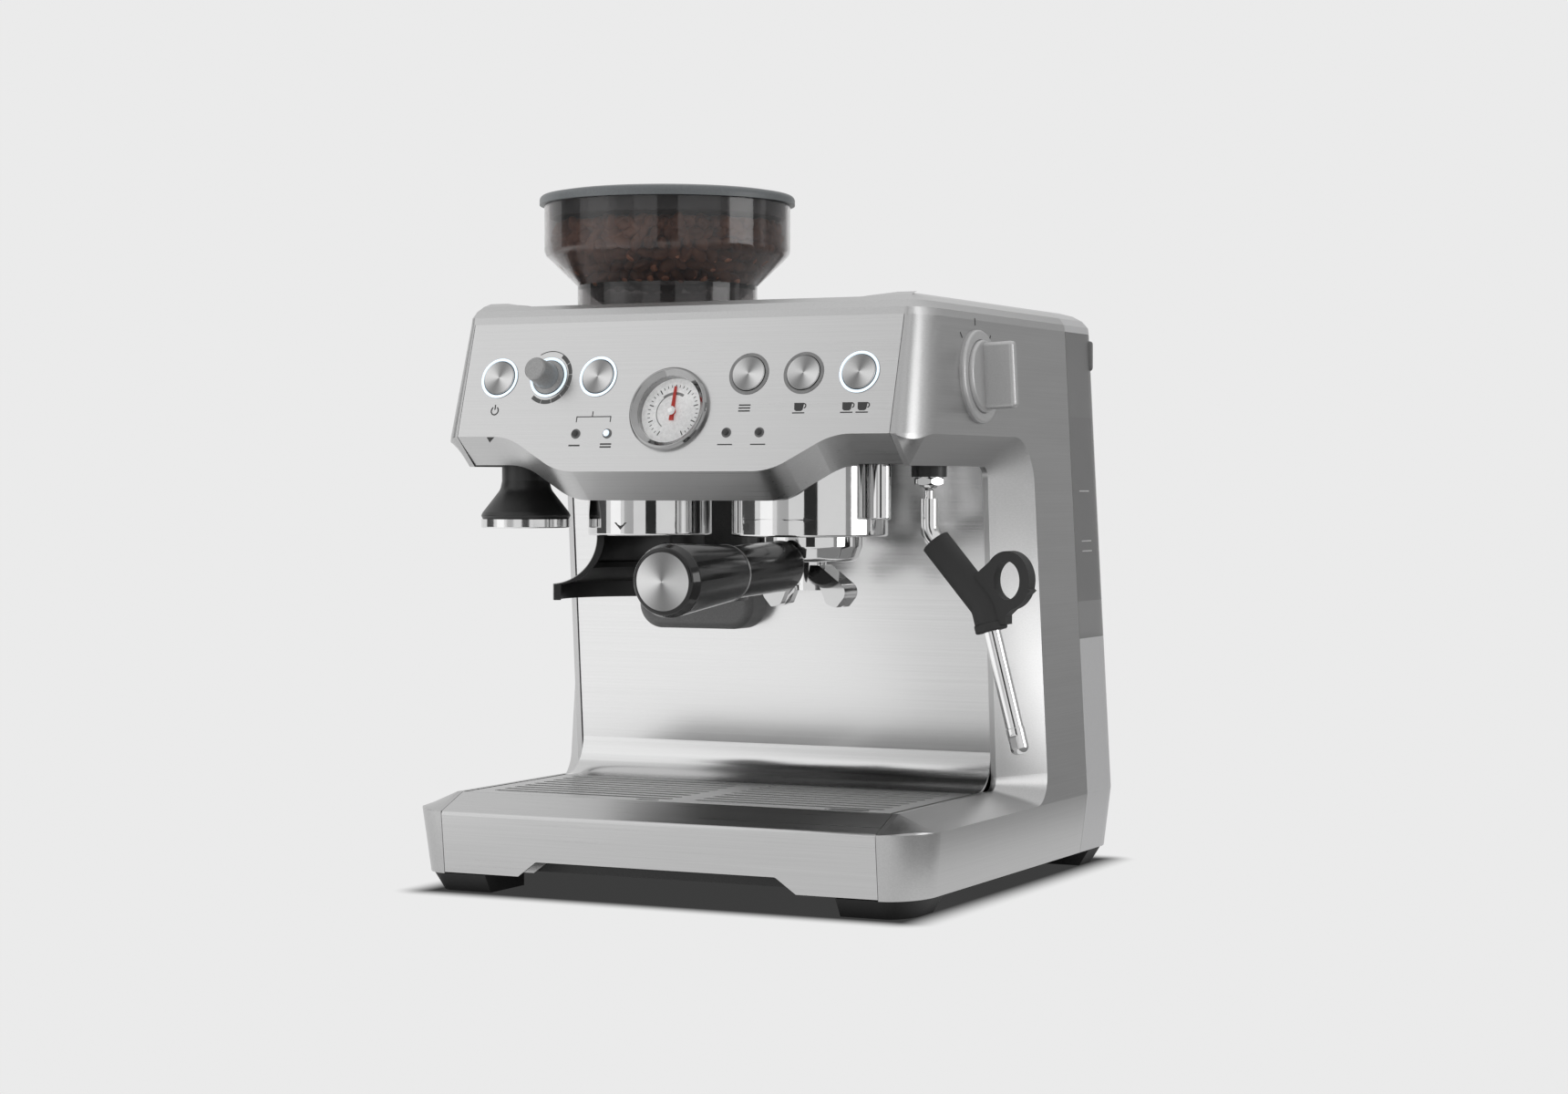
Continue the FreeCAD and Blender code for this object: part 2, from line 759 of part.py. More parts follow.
def build_side_dials():
    """Steam dial on the right wall and grind-size wheel on the left wall"""
    spigot = steam_bezel_r - 2 * panel_t
    floor = -2 * panel_t
    shaft_bore = side_shaft_r + run_gap
    cup = steam_r + slide_gap
    bezel = turned([(shaft_bore, floor - panel_t), (spigot, floor - panel_t), (spigot, 0), (steam_bezel_r, 0),
                    (steam_bezel_r, 2 * panel_t, panel_t), (cup, 2 * panel_t), (cup, floor),
                    (shaft_bore, floor)])
    save("steam_dial_bezel", on_side_wall(bezel, steam_y, steam_z, 1))
    knob_low = floor + slide_gap
    knob_top = steam_disc_h
    knob = turned([(0, -side_shaft), (side_shaft_r, -side_shaft), (side_shaft_r, knob_low),
                   (steam_r, knob_low), (steam_r, knob_top, panel_t), (0, knob_top)])
    bar = block((-steam_bar_w / 2, -steam_bar_half, knob_low + panel_t),
                (steam_bar_w / 2, steam_bar_half, steam_reach))
    bar = bar.makeFillet(steam_bar_w / 3, [e for e in bar.Edges if e.BoundBox.ZMax > steam_reach - panel_t])
    save("steam_dial", on_side_wall(knob.fuse(bar).removeSplitter(), steam_y, steam_z, 1))
    wheel = turned([(0, -side_shaft), (side_shaft_r, -side_shaft), (side_shaft_r, slide_gap),
                    (size_r, slide_gap), (size_r - panel_t, size_reach, 2), (0, size_reach)])
    flutes = []
    for i in range(size_flutes):
        turn = 2 * math.pi * i / size_flutes
        rim = Vector(size_r * math.cos(turn), size_r * math.sin(turn), size_reach / 3)
        flutes.append(Part.makeCylinder(size_flute_r, far, rim))
    save("grind_size_dial", on_side_wall(cut_all(wheel, flutes), size_y, size_z, -1))


# Hopper and grinder

def build_hopper():
    collar_in = hopper_collar_r - hopper_wall
    throat_top = hopper_cone_z - 2 * (collar_in - hopper_throat_r) / 3
    throat_out = hopper_throat_r + hopper_wall
    bowl = turned([(hopper_collar_r, hopper_foot_z), (hopper_collar_r, hopper_cone_z),
                   (hopper_r, hopper_bowl_z, hopper_bend), (hopper_r, hopper_top_z),
                   (hopper_r - hopper_wall, hopper_top_z), (hopper_r - hopper_wall, hopper_bowl_z + 1, hopper_bend),
                   (collar_in, hopper_cone_z + 1), (hopper_throat_r, throat_top),
                   (hopper_throat_r, burr_top_z + throat_gap), (throat_out, burr_top_z + throat_gap),
                   (throat_out, throat_top - hopper_wall / 2), (collar_in, hopper_cone_z - hopper_wall),
                   (collar_in, hopper_foot_z)], hopper_x, hopper_y)
    save("hopper_bowl", bowl)
    low = hopper_top_z
    skirt = hopper_r - hopper_wall - drop_gap
    lid = turned([(0, low + lid_edge - hopper_wall), (skirt - hopper_wall, low + lid_edge - hopper_wall),
                  (skirt - hopper_wall, low - lid_skirt), (skirt, low - lid_skirt), (skirt, low), (lid_r, low),
                  (lid_r, low + lid_edge, lid_edge_round),
                  (lid_r - 2 * lid_edge, low + lid_edge + lid_crown / 2, lid_crown_round),
                  (0, low + lid_edge + lid_crown)], hopper_x, hopper_y)
    save("hopper_lid", lid)


def build_grinder():
    bore = hopper_collar_r + drop_gap
    ring_bore = burr_ring_r + slide_gap
    socket = turned([(ring_bore, socket_floor_z), (bore + socket_t, socket_floor_z),
                     (bore + socket_t, ledge_z), (bore, ledge_z), (bore, socket_floor_z + socket_t),
                     (ring_bore, socket_floor_z + socket_t)], hopper_x, hopper_y)
    save("hopper_socket", socket)
    flange_z = socket_floor_z + socket_t
    upper = turned([(burr_cone_low + burr_gap, burr_low_z), (burr_ring_r, burr_low_z), (burr_ring_r, flange_z),
                    (burr_ring_r + burr_flange, flange_z), (burr_ring_r + burr_flange, burr_top_z),
                    (burr_cone_top + 2 * burr_flange, burr_top_z)], hopper_x, hopper_y)
    save("upper_burr", upper)
    shaft_low = deck_top + motor_h - 2 * motor_shaft_r
    lower = turned([(0, shaft_low), (motor_shaft_r, shaft_low), (motor_shaft_r, burr_low_z),
                    (burr_cone_low, burr_low_z), (burr_cone_top, burr_top_z), (0, burr_top_z)],
                   hopper_x, hopper_y)
    flutes = []
    for i in range(burr_flutes):
        rib = Part.makeCylinder(burr_gap * 2, far, Vector(hopper_x + burr_cone_low, hopper_y, burr_low_z),
                                Vector(burr_cone_top - burr_cone_low, burr_cone_top / 2, burr_top_z - burr_low_z))
        rib.rotate(Vector(hopper_x, hopper_y, 0), Vector(0, 0, 1), 360.0 * i / burr_flutes)
        flutes.append(rib)
    save("lower_burr", cut_all(lower, flutes))
    motor = turned([(0, deck_top), (motor_r, deck_top), (motor_r, deck_top + motor_h, 3), (0, deck_top + motor_h)],
                   hopper_x, hopper_y)
    bore = Part.makeCylinder(motor_shaft_r + run_gap, far, Vector(hopper_x, hopper_y, shaft_low))
    save("grinder_motor", motor.cut(bore))


# Group and portafilter

def build_group():
    collar_in = group_r - collar_t
    save("group_collar", turned([(collar_in, collar_z), (group_r, collar_z, 1.2), (group_r, deck_low),
                                 (collar_in, deck_low)], group_x, group_y))
    body_r = collar_in - slide_gap
    flange_top = deck_top + bayonet_t
    low = collar_z + panel_t
    head = turned([(bayonet_r, low), (body_r, low), (body_r, deck_top), (group_r, deck_top),
                   (group_r, flange_top), (brew_r, flange_top), (brew_r, flange_top + brew_r / 2, 4),
                   (0, flange_top + brew_r / 2), (0, brew_top), (brew_r, brew_top), (brew_r, low + bayonet_t),
                   (bayonet_r, low + bayonet_t)], group_x, group_y)
    slots = []
    for turn in (0, 180):
        slots.append(sector(bayonet_r - 1, brew_r, low - 1, low + bayonet_t + 1, unlock_deg + turn,
                            ear_half_deg + 3, group_x, group_y))
    save("group_head", cut_all(head, slots))
    gasket_low = brew_top - gasket_t
    save("group_gasket", turned([(screen_r + slide_gap, gasket_low), (brew_r, gasket_low), (brew_r, brew_top),
                                 (screen_r + slide_gap, brew_top)], group_x, group_y))
    plate_low = gasket_low + slide_gap
    screen = turned([(0, plate_low), (screen_r, plate_low), (screen_r, plate_low + 1.2),
                     (side_shaft_r, plate_low + 1.2), (side_shaft_r, brew_top), (0, brew_top)], group_x, group_y)
    holes = []
    for radius, count in ((screen_r * 0.4, 8), (screen_r * 0.75, 14)):
        for i in range(count):
            turn = 2 * math.pi * i / count
            place = Vector(group_x + radius * math.cos(turn), group_y + radius * math.sin(turn), plate_low - 1)
            holes.append(Part.makeCylinder(1.0, 4, place))
    save("shower_screen", cut_all(screen, holes))


def along_handle(shape):
    """Lays a shape made about the Z axis along the handle, from the group axis to the front"""
    fall = math.radians(handle_fall_deg)
    out = Vector(0, -math.cos(fall), -math.sin(fall))
    up = Vector(0, -math.sin(fall), math.cos(fall))
    return stand(shape, Vector(group_x, group_y, handle_z), out, up)


def build_portafilter():
    inner = bowl_r - bowl_wall
    bowl = turned([(spout_bore, bowl_low), (bowl_r - 3, bowl_low, 4), (bowl_r, bowl_low + 8, 3), (bowl_r, bowl_top),
                   (inner, bowl_top), (inner, bowl_low + bowl_wall + 3), (spout_bore, bowl_low + bowl_wall)],
                  group_x, group_y)
    ear_low = collar_z + panel_t + bayonet_t + run_gap
    ears = [sector(inner + bowl_wall / 2, bowl_r + ear_reach, ear_low, ear_low + ear_t, turn, ear_half_deg,
                   group_x, group_y) for turn in (0, 180)]
    neck = along_handle(Part.makeCylinder(neck_r, handle_start - bowl_r + 2 * bowl_wall,
                                          Vector(0, 0, bowl_r - 2 * bowl_wall)))
    cavity = Part.makeCylinder(inner, bowl_top - bowl_low, Vector(group_x, group_y, bowl_low + bowl_wall + 3))
    below = block((-far, -far, 0), (far, far, bowl_low))
    save("portafilter_bowl", bowl.fuse(ears + [neck.cut(cavity).cut(below)]).removeSplitter())
    floor = bowl_low + bowl_wall + 4
    basket_in = basket_r - basket_t
    save("filter_basket", turned([(0, floor), (basket_r - 1, floor), (basket_r, bowl_top), (bowl_r, bowl_top),
                                  (bowl_r, bowl_top + basket_rim), (basket_in, bowl_top + basket_rim),
                                  (basket_in - 1, floor + basket_t), (0, floor + basket_t)], group_x, group_y))
    ring_r = handle_front_r + 0.3
    ring = turned([(handle_rear_r - 2, handle_ring_d), (ring_r, handle_ring_d), (ring_r, handle_ring_d + 1.6),
                   (handle_rear_r - 2, handle_ring_d + 1.6)])
    cap = turned([(0, handle_end - 2), (handle_cap_r, handle_end - 2), (handle_cap_r, handle_end), (0, handle_end + 1)])
    handle = turned([(0, handle_start), (handle_rear_r - 2, handle_start), (handle_rear_r, handle_start + 4, 2),
                     (handle_rear_r, handle_ring_d), (handle_front_r, handle_ring_d),
                     (handle_end_r, handle_end - 6, 3), (handle_end_r - 2, handle_end, 2), (0, handle_end)])
    save("portafilter_handle", along_handle(handle.cut(ring).cut(cap)))
    save("handle_cap", along_handle(Part.makeCompound([ring, cap])))


def build_pour_spout():
    """Twin spout: a short nozzle with two wings that carry the streams apart"""
    top = bowl_low
    boss = turned([(spout_bore, top - spout_drop), (spout_boss_r - 1, top - spout_drop), (spout_boss_r, top),
                   (spout_bore, top)], group_x, group_y)
    wing = [(0, top - 2), (spout_boss_r, top - 2, 3), (spout_reach, top - spout_drop, 6), (spout_reach - 8, spout_tip_z, 1),
            (spout_spread - 1, spout_tip_z + 2, 2), (spout_boss_r, top - 13, 2), (0, top - 13)]
    solids = [boss]
    bores = [Part.makeCylinder(spout_bore, far, Vector(group_x, group_y, top - spout_drop))]
    run = Vector(spout_spread + 3, 0, spout_tip_z - top + 6)
    for side in (-1, 1):
        corners = [(group_x + side * c[0], *c[1:]) for c in wing]
        solids.append(prism(corners, on_front(group_y - spout_depth / 2), Vector(0, spout_depth, 0)))
        bores.append(Part.makeCylinder(spout_bore, far, Vector(group_x, group_y, top - 6),
                                       Vector(side * run.x, 0, run.z)))
    save("pour_spout", cut_all(solids[0].fuse(solids[1:]), bores).removeSplitter())


# Grinder outlet and tamper

def chute_front(z):
    return splash_y(z) + splash_recess - chute_proud


def build_outlet():
    save("grinder_collar", turned([(outlet_r - collar_t, collar_z), (outlet_r, collar_z, 1.2),
                                   (outlet_r, deck_low), (outlet_r - collar_t, deck_low)], outlet_x, group_y))
    half = chute_w / 2
    outline = [(outlet_x - half, chute_low_z, chute_corner), (outlet_x + half, chute_low_z, chute_corner),
               (outlet_x + half, deck_low), (outlet_x - half, deck_low)]
    depth = Vector(0, splash_y(chute_low_z) - splash_y(deck_low) + chute_proud + far / 10, 0)
    lean = [(chute_front(0), 0), (splash_y(0) + splash_recess, 0), (splash_y(far) + splash_recess, far),
            (chute_front(far), far)]
    housing = prism(outline, on_front(chute_front(deck_low)), depth)
    housing = housing.common(prism(lean, on_side(-far), Vector(2 * far, 0, 0)))
    front = [e for e in housing.Edges
             if all(abs(v.Point.y - chute_front(v.Point.z)) < 0.01 for v in e.Vertexes)
             and min(v.Point.z for v in e.Vertexes) < deck_low - 1]
    housing = housing.makeFillet(chute_round, front)
    housing = housing.cut(turned([(0, collar_z), (outlet_r, collar_z), (outlet_r, far), (0, far)],
                                 outlet_x, group_y))
    pocket = trigger_block(slide_gap, far / 10)
    save("chute_housing", housing.cut(pocket))


def trigger_block(grow, more):
    half = trigger_w / 2 + grow
    back = chute_front(trigger_z) + 2 * trigger_travel + more
    return block((outlet_x - half, trigger_front - grow, trigger_z - trigger_h / 2 - grow),
                 (outlet_x + half, back, trigger_z + trigger_h / 2 + grow))


def build_cradle():
    """Flared horseshoe that holds the portafilter under the grinder"""
    lip_top = cradle_low_z + cradle_lip
    mid = Vector((cradle_top_r + cradle_low_r) / 2, (collar_z + lip_top) / 2, 0)
    across = Vector(lip_top - collar_z, cradle_top_r - cradle_low_r, 0).normalize()
    bow = mid + across * (cradle_bow / 4)

    def place(p):
        return Vector(outlet_x + p.x, group_y, p.y)
    edges = []
    outer = [Vector(cradle_top_r, collar_z, 0), bow, Vector(cradle_low_r, lip_top, 0)]
    inner = [p - Vector(cradle_t, 0, 0) for p in outer]
    edges.append(Part.Arc(*[place(p) for p in outer]).toShape())
    low_out = Vector(cradle_low_r, cradle_low_z, 0)
    low_in = Vector(cradle_low_r - cradle_t, cradle_low_z, 0)
    for a, b in ((outer[2], low_out), (low_out, low_in), (low_in, inner[2]), (inner[0], outer[0])):
        edges.append(Part.makeLine(place(a), place(b)))
    edges.append(Part.Arc(*[place(p) for p in inner]).toShape())
    face = Part.Face(Part.Wire(Part.__sortEdges__(edges)))
    start = cradle_mouth_deg - 90
    face.rotate(Vector(outlet_x, group_y, 0), Vector(0, 0, 1), start)
    skirt = face.revolve(Vector(outlet_x, group_y, 0), Vector(0, 0, 1), 360 - 2 * cradle_mouth_deg)
    fork = turned([(0, fork_z), (cradle_top_r + cradle_t, fork_z), (cradle_top_r + cradle_t, fork_z + fork_t),
                   (0, fork_z + fork_t)], outlet_x, group_y)
    slot = [(outlet_x - fork_slot / 2, -far), (outlet_x + fork_slot / 2, -far),
            (outlet_x + fork_slot / 2, group_y + fork_slot / 2, fork_slot / 2 - 1),
            (outlet_x - fork_slot / 2, group_y + fork_slot / 2, fork_slot / 2 - 1)]
    fork = fork.cut(prism(slot, on_plan(0), Vector(0, 0, far)))
    behind = prism([(chute_front(0), 0), (far, 0), (far, far), (chute_front(far), far)], on_side(-far),
                   Vector(2 * far, 0, 0))
    cradle = skirt.fuse(fork).cut(behind).cut(trigger_block(slide_gap, 0))
    save("grind_cradle", cradle.removeSplitter())
    save("grind_trigger", trigger_block(0, 0))


def build_tamper():
    save("tamper_body", turned([(0, tamper_base_z), (tamper_r - 1, tamper_base_z), (tamper_r, tamper_ring_z - 2, 1),
                                (tamper_r - 1, tamper_ring_z, 1), (tamper_stem_r + 1, tamper_neck_z - 1, 8),
                                (tamper_stem_r, tamper_neck_z + 4), (tamper_stem_r, tamper_top_z), (0, tamper_top_z)],
                               tamper_x, tamper_y))
    save("tamper_base", turned([(0, tamper_low_z), (tamper_r, tamper_low_z, 0.6), (tamper_r, tamper_base_z),
                                (0, tamper_base_z)], tamper_x, tamper_y))


# Water spout and steam wand

def build_water_spout():
    save("hot_water_spout", turned([(water_bore, water_low_z), (water_r, water_low_z, edge_round),
                                    (water_r, deck_low), (water_bore, deck_low)], water_x, water_y))


def wand_points():
    return [Vector(wand_x, wand_y, wand_top_z), Vector(wand_x, wand_y, wand_bend_z),
            Vector(wand_elbow_x, wand_y, wand_elbow_z), Vector(wand_tip_x, wand_y, wand_tip_z)]


def bent_rod(points, radius, bend):
    """A round rod along straight runs joined by tangent arcs"""
    edges = []
    start = points[0]
    for last, here, ahead in zip(points, points[1:], points[2:]):
        back, on = (last - here).normalize(), (ahead - here).normalize()
        half = back.getAngle(on) / 2
        reach = bend / math.tan(half)
        middle = here + (back + on).normalize() * (bend / math.sin(half) - bend)
        edges.append(Part.makeLine(start, here + back * reach))
        edges.append(Part.Arc(here + back * reach, middle, here + on * reach).toShape())
        start = here + on * reach
    edges.append(Part.makeLine(start, points[-1]))
    ring = Part.Wire(Part.makeCircle(radius, points[0], points[1] - points[0]))
    return Part.Wire(edges).makePipeShell([ring], True, False)


def build_wand():
    hexagon = [(wand_x + nut_af / math.sqrt(3) * math.cos(math.radians(60 * i)),
                wand_y + nut_af / math.sqrt(3) * math.sin(math.radians(60 * i))) for i in range(6)]
    nut = prism(hexagon, on_plan(nut_low_z), Vector(0, 0, nut_top_z - nut_low_z))
    wide = nut_af / 2 + nut_chamfer
    nut = nut.common(turned([(0, nut_low_z), (nut_af / 2, nut_low_z), (wide, nut_low_z + nut_chamfer),
                             (wide, nut_top_z - nut_chamfer), (nut_af / 2, nut_top_z), (0, nut_top_z)],
                            wand_x, wand_y))
    neck = Part.makeCylinder(nut_neck_r, deck_low - slide_gap - nut_top_z, Vector(wand_x, wand_y, nut_top_z))
    socket = Part.makeSphere(ball_r + slide_gap, Vector(wand_x, wand_y, ball_z))
    save("wand_nut", nut.fuse(neck).cut(socket).removeSplitter())
    points = wand_points()
    ball = Part.makeSphere(ball_r, Vector(wand_x, wand_y, ball_z))
    neck = Part.makeCylinder(wand_neck_r, ball_z - wand_top_z, points[0])
    rod = bent_rod(points, wand_r, wand_bend_r)
    save("steam_wand", rod.fuse([neck, ball]).removeSplitter())
    along = (points[3] - points[2]).normalize()
    tip = turned([(0, 0), (tip_r, 0, 0.4), (tip_r, tip_len, tip_r - 1), (0, tip_len)])
    half = tip_slot_h / 2
    slot = [(-tip_slot_r, -half - tip_slot_r, tip_slot_r - 0.1), (tip_slot_r, -half - tip_slot_r, tip_slot_r - 0.1),
            (tip_slot_r, half + tip_slot_r, tip_slot_r - 0.1), (-tip_slot_r, half + tip_slot_r, tip_slot_r - 0.1)]
    slot = prism(slot, lambda u, v: Vector(u, -far, tip_len - tip_r - half + v), Vector(0, 2 * far, 0))
    tip = tip.cut(slot)
    save("steam_tip", stand(tip, points[3], along, Vector(0, 1, 0)))
    run = points[2] - points[1]
    sleeve_path = [points[1] + run * grip_start, points[2], points[2] + along * grip_tail]
    sleeve = bent_rod(sleeve_path, grip_r - 0.6, wand_bend_r)
    outer = finger_oval(ring_hole_w + 2 * ring_rim, ring_hole_h + 2 * ring_rim, ring_t)
    hole = finger_oval(ring_hole_w, ring_hole_h, 2 * ring_t)
    web = [(ring_x + u, ring_z + v) for u, v in ring_web]
    gusset = prism(web, on_front(wand_y - ring_t / 2), Vector(0, ring_t, 0))
    cuff = turned([(0, 0), (grip_r, 0, 1), (grip_r, grip_collar, 1), (0, grip_collar)])
    cuff = stand(cuff, points[2] + along * (grip_tail - grip_collar), along, Vector(0, 1, 0))
    grip = sleeve.fuse([outer, gusset, cuff]).cut(hole).cut(rod)
    save("steam_grip", grip.removeSplitter())


def finger_oval(width, height, depth):
    """Oval plate in the plane of the wand"""
    curve = Part.Ellipse(Vector(0, 0, 0), height / 2, width / 2).toShape()
    oval = Part.Face(Part.Wire(curve)).extrude(Vector(0, 0, depth))
    return stand(oval, Vector(ring_x, wand_y + depth / 2, ring_z), Vector(0, -1, 0), Vector(1, 0, 0))


# Drip tray

def build_drip_tray():
    """Tub, its steel front and the grill on it"""
    half = seam_x - seam_gap
    t = tray_wall
    front = [(base_front, tray_front_low), (crease_front, crease_z, tray_edge_r), (grill_front, grill_z),
             (grill_front, tray_front_low)]
    inside = [(base_front + t, 0), (crease_front + t, crease_z - t / 2, tray_edge_r), (grill_front - t, grill_z - t),
              (grill_front - t, 0)]
    fascia = prism(front, on_side(-half), Vector(2 * half, 0, 0))
    fascia = fascia.cut(prism(inside, on_side(-far), Vector(2 * far, 0, 0)))
    hand = [(-tray_cut_low, 0), (-tray_cut_low, tray_front_low), (-tray_cut_top, tray_cut_z, 3),
            (tray_cut_top, tray_cut_z, 3), (tray_cut_low, tray_front_low), (tray_cut_low, 0)]
    save("drip_tray_front", fascia.cut(prism(hand, on_front(-far), Vector(0, 2 * far, 0))))
    back = splash_lip_y - drop_gap - slide_gap
    rim = grill_z - grill_t
    tub = prism([(-tub_half, grill_front, 6), (tub_half, grill_front, 6), (tub_half, back, 6), (-tub_half, back, 6)],
                on_plan(tub_low_z), Vector(0, 0, rim - tub_low_z))
    room = prism([(t - tub_half, grill_front + t, 5), (tub_half - t, grill_front + t, 5),
                  (tub_half - t, back - t, 5), (t - tub_half, back - t, 5)],
                 on_plan(tub_low_z + t), Vector(0, 0, far))
    save("drip_tray", tub.cut(room))
    plate = block((-grill_half, grill_front + slide_gap, grill_z - grill_t), (grill_half, back + slide_gap, grill_z))
    slots = []
    for row in range(grill_rows):
        y = grill_first_y + row * grill_pitch
        for side in (-1, 1):
            low, high = sorted((side * grill_slot_mid, side * grill_slot_end))
            slots.append(oblong((low + high) / 2, y, high - low, grill_slot_w))
    slots.append(oblong(finger_x, finger_y, finger_w, finger_h))
    slots.append(oblong(float_x, finger_y, float_w, grill_slot_w))
    save("drip_grill", plate.cut(Part.makeCompound(slots)))


def oblong(x, y, length, width):
    r = width / 2 - 0.01
    corners = [(x - length / 2, y - width / 2, r), (x + length / 2, y - width / 2, r),
               (x + length / 2, y + width / 2, r), (x - length / 2, y + width / 2, r)]
    return prism(corners, on_plan(0), Vector(0, 0, far))


# Water tank

def build_tank():
    front = tank_seam_y + seam_gap
    tank_low_z = shelf_z
    outside = casing(0, tank_low_z, head_top).common(block((-far, front, 0), (far, far, far)))
    inside = casing(tank_wall, tank_low_z + tank_wall, head_top + far / 100)
    inside = inside.common(block((-far, front + tank_wall, 0), (far, far, far)))
    save("tank_body", outside.cut(inside))
    cap = cap_loft(0).common(block((-far, front, 0), (far, far, far)))
    hollow = cap_loft(lid_wall).common(block((-far, front + lid_wall, 0), (far, far, far)))
    hollow.translate(Vector(0, 0, -lid_wall))
    plug_in = tank_wall + drop_gap
    plug = casing(plug_in, head_top - lid_plug, head_top + lip_h / 2)
    plug = plug.common(block((-far, front + plug_in, 0), (far, far, far)))
    core = casing(plug_in + lid_wall, head_top - 2 * lid_plug, head_top + lip_h)
    core = core.common(block((-far, front + plug_in + lid_wall, 0), (far, far, far)))
    lid = cap.cut(hollow).fuse(plug.cut(core)).removeSplitter()
    save("tank_lid", lid)


# Inside the casing

def build_inner():
    pump = Part.makeCylinder(pump_r, pump_len, Vector(pump_x - pump_len / 2, pump_y, pump_z), Vector(1, 0, 0))
    cone = Part.makeCone(pump_r / 2, pump_r / 4, pump_r, Vector(pump_x + pump_len / 2, pump_y, pump_z), Vector(1, 0, 0))
    saddle = block((pump_x - pump_saddle / 2, pump_y - pump_r, pan_top), (pump_x + pump_saddle / 2, pump_y + pump_r, pump_z))
    save("water_pump", pump.fuse([cone, saddle]).removeSplitter())
    save("thermocoil", turned([(coil_bore, deck_top), (coil_r, deck_top, 6), (coil_r, deck_top + coil_h, 6),
                               (coil_bore, deck_top + coil_h)], coil_x, coil_y))
    save("control_board", block((-board_w, board_y, deck_top), (0, board_y + board_t, deck_top + board_h)))


def build_all():
    for build in (build_panels, build_fascia, build_splash_plate, build_head_floor, build_bulkhead, build_base_pan,
                  build_feet, build_rear_cover, build_top_frame, build_buttons, build_gauge, build_side_dials,
                  build_hopper, build_grinder, build_group, build_portafilter, build_pour_spout, build_outlet,
                  build_cradle, build_tamper, build_water_spout, build_wand, build_drip_tray, build_tank, build_inner):
        build()
    os.makedirs("parts", exist_ok=True)
    for name, shape in made.items():
        shape.exportStep(f"parts/{name}.step")
        state = "" if shape.isValid() else "  not valid"
        print(f"{name:22s} {len(shape.Solids)} solids {shape.Volume / 1000:9.2f} cm3{state}")
    print(len(made), "nodes")


build_all()
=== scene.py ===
# %% [markdown]
# # Dressing an espresso machine
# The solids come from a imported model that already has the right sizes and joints.
# This lesson gives each of them a finish, adds the small pieces that are easier to model by hand,
# and sets a quiet studio round the machine. Units are metres: X to the right, the front faces -Y, Z up.

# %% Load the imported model
import math
import random

import bpy
from mathutils import Matrix, Vector


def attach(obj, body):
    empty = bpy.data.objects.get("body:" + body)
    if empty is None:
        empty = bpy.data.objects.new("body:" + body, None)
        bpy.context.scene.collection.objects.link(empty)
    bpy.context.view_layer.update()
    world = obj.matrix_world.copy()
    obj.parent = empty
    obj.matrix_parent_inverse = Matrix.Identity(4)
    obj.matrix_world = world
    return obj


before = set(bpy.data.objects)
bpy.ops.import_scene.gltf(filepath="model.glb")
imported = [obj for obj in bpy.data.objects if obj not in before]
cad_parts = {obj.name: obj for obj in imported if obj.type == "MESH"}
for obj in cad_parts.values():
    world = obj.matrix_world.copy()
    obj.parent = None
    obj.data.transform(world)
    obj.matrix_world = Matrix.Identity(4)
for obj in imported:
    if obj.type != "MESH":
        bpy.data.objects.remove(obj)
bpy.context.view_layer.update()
bpy.ops.object.select_all(action="DESELECT")

# %% [markdown]
# ## Helpers for finishes
# A finish is a Principled shader with a little texture wired into it. It could be painted as an image,
# but noise on Object coordinates needs no unwrapping and stays sharp from close by.
# `finish` makes the shader with its plain values, and `speckle` adds a noise stretched along one direction,
# which is what brushing, moulding and dust have in common.

# %% Node helpers
def finish(name, colour, metal=0.0, rough=0.5, **sockets):
    """A new material whose shader has these plain values"""
    made = bpy.data.materials.new(name)
    made.use_nodes = True
    shader = made.node_tree.nodes["Principled BSDF"]
    shader.inputs["Base Color"].default_value = (*colour, 1)
    shader.inputs["Metallic"].default_value = metal
    shader.inputs["Roughness"].default_value = rough
    for socket, value in sockets.items():
        shader.inputs[socket.replace("_", " ")].default_value = value
    return made


def node(made, kind, **values):
    """Adds a node and sets its plain values"""
    added = made.node_tree.nodes.new(kind)
    for key, value in values.items():
        setattr(added, key, value)
    return added


def link(made, start, end):
    made.node_tree.links.new(start, end)


def spread(made, source, low, high, start=0.3, end=0.7, way="LINEAR"):
    """Maps a texture from start..end to low..high"""
    mapped = node(made, "ShaderNodeMapRange", interpolation_type=way)
    for socket, value in zip(("From Min", "From Max", "To Min", "To Max"), (start, end, low, high)):
        mapped.inputs[socket].default_value = value
    link(made, source, mapped.inputs["Value"])
    return mapped.outputs["Result"]


def tone(value, tint=(1.0, 1.0, 1.0)):
    return tuple(value * t for t in tint)


print("node helpers ready")

# %% Texture helpers
def noise_along(made, scale):
    """Noise on Object coordinates, stretched by a scale in each direction"""
    place = node(made, "ShaderNodeTexCoord")
    mapping = node(made, "ShaderNodeMapping")
    mapping.inputs["Scale"].default_value = scale
    noise = node(made, "ShaderNodeTexNoise")
    for socket, value in (("Scale", 1.0), ("Detail", 3.0), ("Roughness", 0.6)):
        noise.inputs[socket].default_value = value
    link(made, place.outputs["Object"], mapping.inputs["Vector"])
    link(made, mapping.outputs["Vector"], noise.inputs["Vector"])
    return noise.outputs["Fac"]


def shade_between(made, source, dark, light):
    """Colour that goes from dark to light with a texture"""
    shades = node(made, "ShaderNodeValToRGB")
    shades.color_ramp.elements[0].color = (*dark, 1)
    shades.color_ramp.elements[1].color = (*light, 1)
    link(made, source, shades.inputs["Fac"])
    return shades.outputs["Color"]


